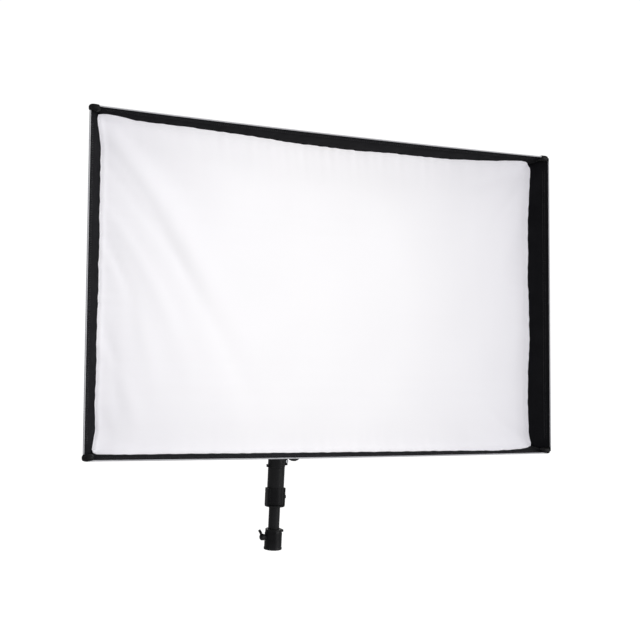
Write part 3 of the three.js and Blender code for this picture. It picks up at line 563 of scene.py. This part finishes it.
def wall_panels():
    """The four sewn walls, one sheet each."""
    for side in SIDES:
        count = int(half_length(side) / WALL_STEP)
        rows = np.linspace(0, SHELL_DEPTH, WALL_ROWS)
        along, depth = np.meshgrid(np.linspace(-1, 1, count), rows, indexing="ij")
        points = all_at(wall(side, along, depth))
        mesh = sheet_mesh("softbox_wall_" + side, points, SHELL_THICKNESS, side in ("bottom", "left"))
        fabric = LOOKS["black_fabric"]
        obj = piece("softbox_wall_" + side, mesh, fabric, "head", ["softbox_shell"])


def binding():
    """The silver-grey piping along the front edge, one length for each side."""
    made = bmesh.new()
    section = round_section(PIPING_RADIUS, 12)
    for side in SIDES:
        end = 1 - PIPING_END / half_length(side)
        path = all_at(wall(side, np.linspace(-end, end, 90), 0.0, PIPING_INSET))
        add_swept(made, path.tolist(), section, BACK)
    piece("softbox_front_piping", made, SILVER_TAPE, "head")


def along_run(places, run, values):
    """Points or directions at places along a row, between the given ones."""
    return np.stack([np.interp(places, run, values[:, k]) for k in range(3)], 1)


def stitches(rows):
    """The mesh of sewn stitches. A row is an array of points and the outward direction at each of them."""
    length, gap, thick = STITCH_LENGTH, STITCH_GAP, STITCH_THICKNESS
    vertices, faces = [], []
    for points, outward in rows:
        steps = np.linalg.norm(np.diff(points, axis=0), axis=1)
        run = np.concatenate([[0], np.cumsum(steps)])
        starts = np.arange(gap, run[-1] - length, length + gap)
        ends = [along_run(starts + share * length, run, points) for share in (0, 0.5, 1)]
        lifts = along_run(starts, run, outward)
        along = ends[2] - ends[0]
        aside = np.cross(along, lifts)
        aside *= (0.9 * thick) / np.linalg.norm(aside, axis=1, keepdims=True)
        for start, middle, end, lift, wide in zip(*ends, lifts * thick, aside):
            first = len(vertices)
            for point, raised, swell in ((start, -0.4, 0.6), (middle, 0.5, 1.0), (end, -0.4, 0.6)):
                centre = point + lift * raised
                spread, rise = wide * swell, lift * 0.8
                vertices += [centre + spread, centre + rise, centre - spread, centre - rise]
            for k in (0, 4):
                faces += [
                    [first + k + i, first + k + (i + 1) % 4, first + k + 4 + (i + 1) % 4, first + k + 4 + i]
                    for i in range(4)
                ]
            faces.append([first + 3, first + 2, first + 1, first])
            faces.append([first + 8, first + 9, first + 10, first + 11])
    mesh = bpy.data.meshes.new("stitches")
    mesh.from_pydata([tuple(v) for v in vertices], [], faces)
    return mesh


def wall_row(side, depth, inset, inwards):
    """A row along a wall at a depth, on its outer or inner face."""
    edge = 1 - STITCHING_END / half_length(side)
    points = all_at(wall(side, np.linspace(-edge, edge, 300), depth, inset))
    toward = {"top": -UP, "bottom": UP, "left": RIGHT, "right": -RIGHT}[side] * (1 if inwards else -1)
    return points, np.tile(np.array(toward), (len(points), 1))


def wall_stitching():
    """Two rows behind the front edge, inside and out, and one in front of the rear frame."""
    rows = []
    for side in SIDES:
        for depth in FRONT_ROWS:
            rows.append(wall_row(side, depth, -0.15 * MM, False))
            rows.append(wall_row(side, depth, SHELL_THICKNESS * 1.2, True))
        rows.append(wall_row(side, REAR_ROW, -0.15 * MM, False))
    piece("softbox_stitching", stitches(rows), BLACK_THREAD, "head")


def corner_seams():
    """Bound seams down the four corners, from the cap to the rear frame."""
    made = bmesh.new()
    depths = np.linspace(SEAM_START, SHELL_DEPTH, 24)
    for x in (-1, 1):
        for side in ("top", "bottom"):
            path = all_at(wall(side, np.full(len(depths), float(x)), depths, 0.4 * MM))
            outward = RIGHT * x + UP * (1 if side == "top" else -1)
            add_swept(made, path.tolist(), round_section(SEAM_RADIUS, 10), outward)
    piece("softbox_corner_seams", made, LOOKS["black_fabric"], "head")


# The white front cloth. Its hem lies on the walls, at these (place from -1 to 1, depth in millimetres)
# along each side: from left to right, or from the bottom up.
HEM = {
    "top": [
        (-1, 20), (-0.91, 21), (-0.86, 31), (-0.62, 30), (-0.37, 35), (-0.15, 44), (0.15, 46),
        (0.27, 41), (0.6, 40), (0.7, 34), (0.82, 25), (0.89, 15), (0.94, 12), (1, 24),
    ],
    "bottom": [
        (-1, 10), (-0.9, 6), (-0.78, 9), (-0.47, 10.5), (0, 11), (0.33, 10),
        (0.6, 9), (0.76, 6), (0.84, 8), (0.92, 14), (1, 28),
    ],
    "left": [
        (-1, 24), (-0.94, 33), (-0.87, 42), (-0.7, 36), (-0.5, 39.5), (-0.3, 38), (0, 41),
        (0.12, 39.5), (0.22, 43), (0.4, 40), (0.64, 41), (0.83, 43), (0.91, 30), (1, 23),
    ],
    "right": [
        (-1, 33), (-0.95, 40.5), (-0.7, 42), (-0.45, 41), (-0.28, 37.5), (0, 38.5),
        (0.2, 41), (0.3, 39.5), (0.6, 40), (0.82, 36.5), (1, 34),
    ],
}
HEM_WAVES = {"top": 1.0, "bottom": 0.9, "left": 1.0, "right": 0.35}  # in millimetres
HEM_RADIUS = 1.1 * MM
FINE_SPREAD, BROAD_SPREAD = 14 * MM, 150 * MM  # how far the hem's course is smoothed to either side
GATHER_REACH, GATHER_FADE, GATHER_HEIGHT = 25 * MM, 20 * MM, 0.35 * MM  # of the gathers beside the hem
SOFT_HEIGHT = 0.7 * MM  # of the cloth's broad unevenness
SINK, SINK_FADE = 8 * MM, 7 * MM  # how far the cloth lies behind its hem, and how soon
HEM_FADE, LIFT_FADE = 30 * MM, 9 * MM  # how far in the hem's fine course shows, and where the folds start
CLOTH_THICKNESS = 0.7 * MM
SLEEVE_FRONT = 48 * MM  # just behind the cloth


def hem_depth(side, along, fine):
    """The depth of the hem along one side, from -1 to 1: as sewn, or only its broad course."""
    places, depths = np.array(HEM[side]).T
    spread = (FINE_SPREAD if fine else BROAD_SPREAD) / half_length(side)
    steps = np.linspace(-spread, spread, 9)
    depth = sum(np.interp(along + step, places, depths) for step in steps) / len(steps)
    if fine:
        s = along * half_length(side) / MM
        phase = {"top": 0.4, "bottom": 2.2, "left": 3.9, "right": 5.2}[side]
        waves = 0.7 * np.sin(s / 7.1 + phase + 2 * np.sin(s / 41)) + 0.5 * np.sin(s / 3.9 + 1.7 * phase)
        depth = depth + waves * HEM_WAVES[side]
    return depth * MM


def hem(side, along, fine):
    """(x, depth, up) of the hem along one side."""
    return wall(side, along, hem_depth(side, along, fine), SHELL_THICKNESS + HEM_RADIUS)


def spaced(count, crowding):
    """Places from 0 to 1, which lie closer together towards the middle."""
    t = np.linspace(-1, 1, count)
    stretch = np.sinh(crowding * t) / math.sinh(crowding)
    return (stretch + 1) / 2


def fold_height(points, start, end, width, height):
    """A rounded fold in the cloth from a start to an end, as a height at each (x, up)."""
    start, end = np.array(start) * MM, np.array(end) * MM
    along = end - start
    length = np.linalg.norm(along)
    t = ((points - start) @ along) / length**2
    aside = (points - start) @ np.array([-along[1], along[0]]) / length
    arch = np.sin(np.pi * np.clip(t, 0, 1))
    wide = (width * (0.35 + 0.65 * np.clip(t, 0, 1))) * MM
    bow = 0.05 * length * arch
    section = np.exp(-(((aside - bow) / wide) ** 2))
    ends = np.clip(t / 0.06, 0, 1) * np.clip((1.15 - t) / 0.5, 0, 1)
    return height * MM * section * ends * (0.6 + 0.4 * arch)


# The folds that fan out from the upper left corner, and those at the other corners:
# start, end, width and height, in millimetres of (x, up) from the middle of the front.
FOLDS = [
    ((-536, 352), (-275, 118), 46, -3.4),
    ((-534, 350), (-170, 190), 44, 2.2),
    ((-538, 340), (-237, -130), 48, 3.8),
    ((-538, 310), (-300, -60), 20, -2.4),
    ((-540, 270), (-167, -293), 30, -2.6),
    ((-540, 180), (-330, -200), 24, 2.4),
    ((-540, 130), (-443, -150), 17, -3.0),
    ((-540, 90), (-400, -250), 22, 2.0),
    ((-540, -39), (-485, -321), 16, -3.0),
    ((-538, -120), (-440, -330), 22, 2.2),
    ((-536, -250), (-500, -350), 14, -2.0),
    ((536, 345), (330, 270), 16, -1.8),
    ((537, 330), (420, 180), 15, 1.6),
    ((536, 340), (240, 320), 14, 1.4),
    ((537, 250), (440, 40), 44, -3.0),
    ((538, 60), (470, -250), 36, -2.6),
    ((536, -335), (400, -240), 15, -1.5),
    ((530, -345), (340, -320), 12, 1.3),
]
# The short folds that fan out from each corner: its place, their reach, number, height and phase.
CRUMPLES = [
    ((545, 350), 60, 9, 2.3, 0.3),
    ((545, -352), 45, 8, 1.9, 1.1),
    ((-545, -352), 50, 8, 2.0, 2.0),
    ((-545, 352), 60, 7, 1.5, 2.9),
]
FOLD_SCALE = 1.15  # makes all the long folds this much higher


def corner_crumple(points, corner, reach, folds, height, phase):
    """Short folds that fan out from a corner, as a height at each (x, up)."""
    offset = points - np.array(corner) * MM
    away = np.linalg.norm(offset, axis=-1)
    angle = np.arctan2(offset[..., 1], offset[..., 0])
    fade = np.exp(-((away / (reach * MM)) ** 2)) * np.clip(away / (10 * MM), 0, 1)
    return height * MM * fade * np.sin(folds * angle + phase + away / (14 * MM))


def rounded_corner(near_x, near_up, radius_x, radius_up):
    """Turns the square corner of a grid, given as the distances from its two sides, into a round one."""
    p = np.clip(1 - near_x / radius_x, 0, 1)
    q = np.clip(1 - near_up / radius_up, 0, 1)
    return radius_x * (1 - p * np.sqrt(1 - q * q / 2)), radius_up * (1 - q * np.sqrt(1 - p * p / 2))


CORNER_RADIUS = {  # of the cloth's corners, across and up, for each (left or right, bottom or top)
    (-1, 1): (10 * MM, 18 * MM),
    (1, 1): (24 * MM, 20 * MM),
    (-1, -1): (12 * MM, 14 * MM),
    (1, -1): (12 * MM, 12 * MM),
}


def stretched_between(a, b, fine):
    """The surface between the four hems, as (x, depth, up), and the hems."""
    low, high = hem("bottom", 2 * a - 1, fine), hem("top", 2 * a - 1, fine)
    left, right = hem("left", 2 * b - 1, fine), hem("right", 2 * b - 1, fine)
    a, b = a[..., None], b[..., None]
    corners = (
        (1 - a) * (1 - b) * left[:, :1] + a * (1 - b) * right[:, :1]
        + (1 - a) * b * left[:, -1:] + a * b * right[:, -1:]
    )
    low = low + (1 - a) * (left[:, :1] - low[:1]) + a * (right[:, :1] - low[-1:])
    high = high + (1 - a) * (left[:, -1:] - high[:1]) + a * (right[:, -1:] - high[-1:])
    return (1 - b) * low + b * high + (1 - a) * left + a * right - corners, (left, right, low, high)


def inside_walls(x, depth, up):
    """The same points, none nearer to a wall than the hem's own thickness."""
    inset = SHELL_THICKNESS + HEM_RADIUS
    across, high = x / (HALF_WIDTH - SIDE_SLOPE * depth), up / (HALF_HEIGHT - TOP_SLOPE * depth)
    left, right = wall("left", high, depth, inset)[..., 0], wall("right", high, depth, inset)[..., 0]
    bottom, top = wall("bottom", across, depth, inset)[..., 2], wall("top", across, depth, inset)[..., 2]
    return np.stack([np.clip(x, left, right), depth, np.clip(up, bottom, top)], -1)


def cloth_points():
    """The grid of the cloth's front face."""
    a = spaced(250, 2.4)[:, None]
    b = spaced(180, 2.2)[None, :]
    grid, (left, right, low, high) = stretched_between(a, b, True)
    broad, _ = stretched_between(a, b, False)
    x, depth, up = grid[..., 0], grid[..., 1], grid[..., 2]
    near = {
        "left": x - left[..., 0],
        "right": right[..., 0] - x,
        "bottom": up - low[..., 2],
        "top": high[..., 2] - up,
    }
    for (sx, su), (rx, ru) in CORNER_RADIUS.items():
        side, end = ("left" if sx < 0 else "right"), ("bottom" if su < 0 else "top")
        inside = (near[side] < rx) & (near[end] < ru)
        new_x, new_up = rounded_corner(near[side], near[end], rx, ru)
        x = np.where(inside, x - sx * (new_x - near[side]), x)
        up = np.where(inside, up - su * (new_up - near[end]), up)
    away = np.minimum.reduce([np.maximum(value, 0) for value in near.values()])
    depth = broad[..., 1] + (depth - broad[..., 1]) * np.exp(-away / HEM_FADE)
    sink = SINK * (1 - np.exp(-away / SINK_FADE))
    flat = np.stack([x, up], -1)
    folds = FOLD_SCALE * sum(fold_height(flat, *fold) for fold in FOLDS)
    folds = folds + sum(corner_crumple(flat, *crumple) for crumple in CRUMPLES)
    s, t = x / MM, up / MM
    level = np.minimum(near["top"], near["bottom"]) < GATHER_REACH
    upright = np.minimum(near["left"], near["right"]) < GATHER_REACH
    gathers = level * np.sin(s / 6.3 + 1.3 * np.sin(s / 19))
    gathers = gathers + upright * np.sin(t / 6.9 + 1.1 * np.sin(t / 23))
    gathers = gathers * np.exp(-away / GATHER_FADE)
    soft = 0.5 * np.sin(s / 57 + t / 83) + 0.4 * np.sin(s / 31 - t / 47 + 1.1)
    soft = soft + 0.3 * np.sin(t / 39 + s / 140)
    lift = (folds + GATHER_HEIGHT * gathers + SOFT_HEIGHT * soft) * (1 - np.exp(-away / LIFT_FADE))
    return inside_walls(x, depth + sink - lift, up)


def front_cloth():
    """The white cloth, and the cord that is rolled into its hem."""
    grid = cloth_points()
    mesh = sheet_mesh("front_cloth", all_at(grid), CLOTH_THICKNESS, True)
    obj = piece("front_cloth", mesh, LOOKS["white_cloth"], "head", ["front_diffuser"])
    made = bmesh.new()
    path = all_at(outline_of(grid))
    add_swept(made, path.tolist(), round_section(HEM_RADIUS, 8), BACK, closed=True)
    rolled = piece("front_cloth_hem", made, LOOKS["white_cloth"], "head")


def corner_sleeves():
    """Fabric sleeves round the rods that hold the corners out, from just behind the cloth."""
    radius, bare = 2.9 * MM, 2.5 * MM  # of a sleeve, and of the rod in it
    for corner, x, up in CORNERS:
        node = "corner_rod_" + corner
        box = HeadBox(node)
        inner, outer = sorted((abs(box.left), abs(box.right)))
        low, high = sorted((abs(box.low), abs(box.high)))
        front = Vector((x * (outer - bare), box.front + bare, up * (high - bare)))
        back = Vector((x * (inner + bare), box.back - bare, up * (low + bare)))
        start = front.lerp(back, (SLEEVE_FRONT - front.y) / (back.y - front.y))
        path = [at(*start.lerp(back, i / 12)) for i in range(13)]
        made = bmesh.new()
        add_swept(made, path, round_section(radius, 16), UP)
        face_outwards(made)
        piece(node + "_sleeve", made, BLACK_TAPE, "head", [node])


def corner_caps():
    """Moulded caps over the front corners, rounded and a little flattened."""
    for corner, _, _ in CORNERS:
        node = "corner_cap_" + corner
        box = HeadBox(node)
        made = bmesh.new()
        bmesh.ops.create_uvsphere(made, u_segments=40, v_segments=24, radius=1)
        for vert in made.verts:
            x, y, z = vert.co
            size = (abs(x) ** 3 + abs(y) ** 3 + abs(z) ** 3) ** (1 / 3)
            rim = 1 - 0.06 * math.exp(-((y / 0.12) ** 2))
            x, z = x * rim, z * rim
            shaped = Vector(half * place / size for half, place in zip(box.half, (x, y, z)))
            vert.co = at(*(box.middle + shaped))
        face_outwards(made)
        piece(node + "_fine", made, LOOKS["black_plastic"], "head", [node])


def fixing_straps():
    """Short hook-and-loop straps that hold the softbox to the head."""
    head = HeadBox("front_bezel")
    made = bmesh.new()
    wide, thick = 12.5 * MM, 0.6 * MM  # halves
    section = [(-thick, -wide), (thick, -wide), (thick, wide), (-thick, wide)]
    sewn, turn, end = SHELL_DEPTH - 26 * MM, head.front + 3 * MM, head.back + 34 * MM
    for side in SIDES:
        sign = -1 if side in ("bottom", "left") else 1
        level = side in ("top", "bottom")
        surface, outward = (head.high, UP * sign) if level else (head.right, RIGHT * sign)
        places = (-0.62, 0.0, 0.62) if level else (-0.5, 0.5)
        arch, rest, behind = (3.6 * MM, 1.2 * MM, 3 * MM) if level else (6.4 * MM, 1.4 * MM, 5 * MM)
        for place in places:
            ends = [wall(side, place, sewn, -0.9 * MM), wall(side, place, SHELL_DEPTH, -1.4 * MM)]
            route = [(point[1], point[2 if level else 0]) for point in ends]
            route.append((turn, sign * (surface + arch)))
            route.append((head.back + behind, sign * (surface + rest)))
            route.append((end, sign * (surface + 0.9 * MM)))
            fixed = place * half_length(side)
            path = [at(fixed, depth, out) if level else at(out, depth, fixed) for depth, out in route]
            add_swept(made, path, section, outward)
    face_outwards(made)
    straps = piece("softbox_fixing_straps", made, BLACK_TAPE, "head")
    bevel = straps.modifiers.new("edges", "BEVEL")
    bevel.width = 0.4 * MM
    bevel.segments = 2
    even_normals(straps)


wall_panels()
binding()
wall_stitching()
corner_seams()
corner_sleeves()
front_cloth()
corner_caps()
fixing_straps()


# ---------------------------------------------------------------- fasteners and small rear details
def add_screw(made, place, outward, radius):
    """A button-head screw with a hexagonal socket, standing on a surface."""
    profile = [
        (radius * across, radius * high)
        for across, high in (
            (0, 0.25), (0.42, 0.25), (0.46, 0.62), (0.7, 0.6), (0.9, 0.42), (1, 0.12), (1, -0.05), (0, -0.05)
        )
    ]
    add_turned(made, profile, pole(outward, place), 24, hexagon=(1, 2))


def screws(name, places, outward, radius=3.0 * MM):
    """A group of equal screws in the head."""
    made = bmesh.new()
    for place in places:
        add_screw(made, place, outward, radius)
    face_outwards(made)
    even_normals(piece(name, made, LOOKS["zinc_steel"], "head"))


def corners_of(box, inset, depth):
    """The points at a depth that lie inside the four corners of a box."""
    across, high = (box.left + inset, box.right - inset), (box.low + inset, box.high - inset)
    return [at(x, depth, up) for x in across for up in high]


def head_screws():
    """The screws of the casing, the console, the sockets and the end caps."""
    casing, console = HeadBox("rear_casing"), HeadBox("control_panel")
    x, up = casing.right - 22 * MM, 218 * MM
    places = [(share * x, row * up) for share in (-1, -0.5, 0, 0.5, 1) for row in (-1, 1)] + [(-x, 0), (x, 0)]
    screws("rear_casing_screws", [at(px, casing.back, pu) for px, pu in places], BACK)
    screws("control_panel_screws", corners_of(console, 6.5 * MM, console.back), BACK, radius=2.2 * MM)
    plate = casing.back + 2.8 * MM
    for node in ("power_inlet", "data_in_socket", "data_out_socket"):
        screws(node + "_screws", corners_of(HeadBox(node), 3.6 * MM, plate), BACK, radius=1.7 * MM)
    for side, sign in (("left", -1), ("right", 1)):
        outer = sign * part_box("front_bezel")[1].x
        spots = [
            at(outer, depth * MM, row * up * MM)
            for depth, up in ((180, 292), (250, 292), (334, 214), (334, 70))
            for row in (1, -1)
        ]
        screws(f"end_cap_screws_{side}", spots, RIGHT * sign)


DIAL_MARKS, DIAL_SWEEP, DIAL_CLEAR = 21, 270, 17.5 * MM  # number, degrees, and distance from the axis


def dial_scales():
    """Fine marks round both dials, and a pointer line on each dial."""
    made = bmesh.new()
    face = HeadBox("control_panel").back
    for node in ("colour_knob", "intensity_knob"):
        box = HeadBox(node)
        x, up = box.middle.x, box.middle.z
        for i in range(DIAL_MARKS):
            angle = math.radians(DIAL_SWEEP * (i / (DIAL_MARKS - 1) - 0.5))
            outward = RIGHT * -math.sin(angle) + UP * math.cos(angle)
            aside = RIGHT * math.cos(angle) + UP * math.sin(angle)
            long = (1.9 if i % 5 == 0 else 1.1) * MM
            place = at(x, face + 0.05 * MM, up) + outward * (DIAL_CLEAR + long)
            add_block(made, place, (0.28 * MM, long, 0.08 * MM), (aside, outward, BACK))
        pointer = bmesh.new()
        top = at(x, box.back + 0.05 * MM, up) + UP * 8.5 * MM
        add_block(pointer, top, (0.6 * MM, 3.6 * MM, 0.12 * MM), (RIGHT, UP, BACK), 0.06 * MM)
        piece(node + "_pointer", pointer, WHITE_MARK, node)
    piece("dial_scales", made, WHITE_MARK, "head")


HANDLE_RADIUS, HANDLE_BEND, HANDLE_FOOT = 8 * MM, 28 * MM, 15 * MM


def handle_bar(x, seat, reach, rise):
    """A bar bent out and back, with a flanged foot at both ends."""
    centre = (reach - HANDLE_BEND, rise - HANDLE_BEND)
    angles = [math.pi / 2 * i / 12 for i in range(13)]
    arc = [(centre[0] + HANDLE_BEND * math.sin(a), centre[1] + HANDLE_BEND * math.cos(a)) for a in angles]
    upper = [(seat + 1 * MM, rise), (seat + 8 * MM, rise)] + arc
    lower = [(depth, -up) for depth, up in reversed(upper)]
    made = bmesh.new()
    path = [at(x, depth, up) for depth, up in upper + lower]
    add_swept(made, path, round_section(HANDLE_RADIUS - 0.4 * MM, 24), RIGHT)
    flange = [
        (0, 0), (HANDLE_FOOT, 0), (HANDLE_FOOT, 3.6 * MM), (HANDLE_FOOT - 1.4 * MM, 5 * MM),
        (HANDLE_RADIUS + 1.5 * MM, 5 * MM), (HANDLE_RADIUS, 8 * MM), (0, 8 * MM),
    ]
    for end in (-1, 1):
        add_turned(made, flange, pole(BACK, at(x, seat, end * rise)), 40)
    return made


def handle_grip(x, reach, half_length):
    """A grip of rubber rings round the bar's straight middle."""
    ups = np.linspace(half_length, -half_length, 60)
    step = (ups[0] - ups[1]) / 2
    inner = HANDLE_RADIUS - 1.2 * MM
    made = bmesh.new()
    for i, up in enumerate(ups[:-1]):
        swell = HANDLE_RADIUS + (0.25 * MM if 0 < i < len(ups) - 2 else 0.0)
        half = [(inner, -step), (swell - 0.5 * MM, -step), (swell, -0.5 * step)]
        profile = half + [(radius, -height) for radius, height in reversed(half)]
        add_ring(made, profile, pole(UP, at(x, reach, up)), 32)
    return made


def grab_handles():
    """Bent bars with ribbed grips and flanged feet."""
    seat = HeadBox("rear_casing").back + 0.3 * MM
    for side in ("left", "right"):
        node = "grab_handle_" + side
        box = HeadBox(node)
        reach, rise = box.back - HANDLE_RADIUS, box.high - HANDLE_FOOT
        bar = handle_bar(box.middle.x, seat, reach, rise)
        grip = handle_grip(box.middle.x, reach, rise - HANDLE_BEND - 2 * MM)
        for made in (bar, grip):
            face_outwards(made)
        even_normals(piece(node + "_fine", bar, LOOKS["black_powder_coat"], "head", [node]))
        piece(node + "_grip", grip, LOOKS["black_rubber"], "head")


head_screws()
dial_scales()
grab_handles()


# ---------------------------------------------------------------- carried-over nodes
FINE_EDGES = {  # the radius of each node's edges, in millimetres
    "rear_casing": 1.4, "end_cap_left": 1.2, "end_cap_right": 1.2, "front_bezel": 1.0,
    "softbox_rear_frame": 1.0, "control_panel": 0.4, "yoke_bar": 1.0, "yoke_arm_left": 1.0,
    "yoke_arm_right": 1.0, "tilt_lever_left": 1.6, "tilt_lever_right": 1.6, "intensity_knob": 0.9,
    "colour_knob": 0.9, "stand_collar": 0.8, "receiver_collar": 0.5, "receiver_knob": 0.9,
    "receiver_tube": 0.8, "swivel_ring": 0.8, "clamp_lever": 0.8, "power_switch": 0.8,
    "display_window": 0.4, "riser_tube": 0.5, "power_inlet": 0.7, "data_in_socket": 0.6,
    "data_out_socket": 0.6, "menu_button_left": 0.4, "menu_button_right": 0.4,
    "ring_clamp_screw": 0.4, "yoke_bolt_left": 0.6, "yoke_bolt_right": 0.6, "safety_eye": 0.4,
    "safety_eye_nut": 0.6, "friction_washer_left": 0.4, "friction_washer_right": 0.4,
    "pivot_bolt_left": 0.6, "pivot_bolt_right": 0.6, "king_bolt": 0.6, "fan_frame": 0.6,
    "fan_rotor": 0.4, "clamp_pad": 0.3, "riser_cap": 0.4,
}
for node, edge in FINE_EDGES.items():
    refined(node, edge * MM)

for node, obj in frame["nodes"].items():
    if not obj.hide_render:
        for slot in obj.material_slots:
            slot.material = LOOKS[SLOT_OF[node]]


# ---------------------------------------------------------------- stage, light and camera
FLOOR_DROP = 1.2  # for the part of the stand that isn't modelled


def seen_or_not(tree, lighting, seen):
    """One strength for the light that a backdrop gives, and another for how bright it looks itself."""
    level = tree.nodes.new("ShaderNodeMapRange")
    level.inputs["To Min"].default_value = lighting
    level.inputs["To Max"].default_value = seen
    tree.links.new(tree.nodes.new("ShaderNodeLightPath").outputs["Is Camera Ray"], level.inputs["Value"])
    return level.outputs[0]


def stage():
    """A plain pale floor."""
    made = bmesh.new()
    bmesh.ops.create_grid(made, x_segments=2, y_segments=2, size=12)
    bmesh.ops.translate(made, verts=made.verts, vec=(0, 0, -FLOOR_DROP))
    mesh = bpy.data.meshes.new("floor")
    made.to_mesh(mesh)
    made.free()
    look = Look("pale_floor", Specular_IOR_Level=0.1, Roughness=0.9, Emission_Color=(1, 1, 1, 1))
    look.vary("Base Color", 0.8, (0.3, (0.80, 0.80, 0.80)), (0.7, (0.83, 0.83, 0.83)))
    look.feed("Emission Strength", seen_or_not(look.tree, 0.10, 0.8))
    mesh.materials.append(look.material)
    placed("floor", mesh)


def world():
    """Soft white light from all round."""
    made = bpy.data.worlds.new("studio")
    made.use_nodes = True
    tree = made.node_tree
    background = tree.nodes["Background"]
    background.inputs["Color"].default_value = (1, 1, 1, 1)
    tree.links.new(seen_or_not(tree, 0.25, 1.05), background.inputs["Strength"])
    bpy.context.scene.world = made


def lamp(name, kind, direction, power):
    """A lamp that shines in one direction."""
    data = bpy.data.lights.new(name, kind)
    data.energy = power
    obj = placed(name, data)
    obj.rotation_euler = Vector(direction).to_track_quat("-Z", "Y").to_euler()
    return obj


def area_light(name, place, target, size, power):
    """A square lamp that faces a target."""
    obj = lamp(name, "AREA", Vector(target) - Vector(place), power)
    obj.location = place
    obj.data.shape, obj.data.size = "SQUARE", size


def camera():
    """The camera that was fitted to the softbox's front corners and the column."""
    data = bpy.data.cameras.new("camera")
    data.sensor_width = 36
    data.lens = 65.257
    obj = placed("camera", data)
    obj.location = (-1.14385, -2.64005, 0.63157)
    obj.rotation_euler = tuple(math.radians(angle) for angle in (88.8700, -2.7177, -25.1798))
    bpy.context.scene.camera = obj


camera()
world()
stage()
lamp("sun", "SUN", direction=(-1.0, 1.1, -0.25), power=1.75).data.angle = math.radians(45)
area_light("fill", (-2.6, -1.6, 1.2), target=(0, -0.2, 0.6), size=1.6, power=9)
area_light("top", (0, -0.2, 2.9), target=(0, 0, 0.6), size=2.2, power=18)
area_light("rear", (0.8, 2.6, 2.0), target=(0, 0, 0.6), size=1.8, power=34)
bpy.context.scene.view_settings.view_transform = "Standard"
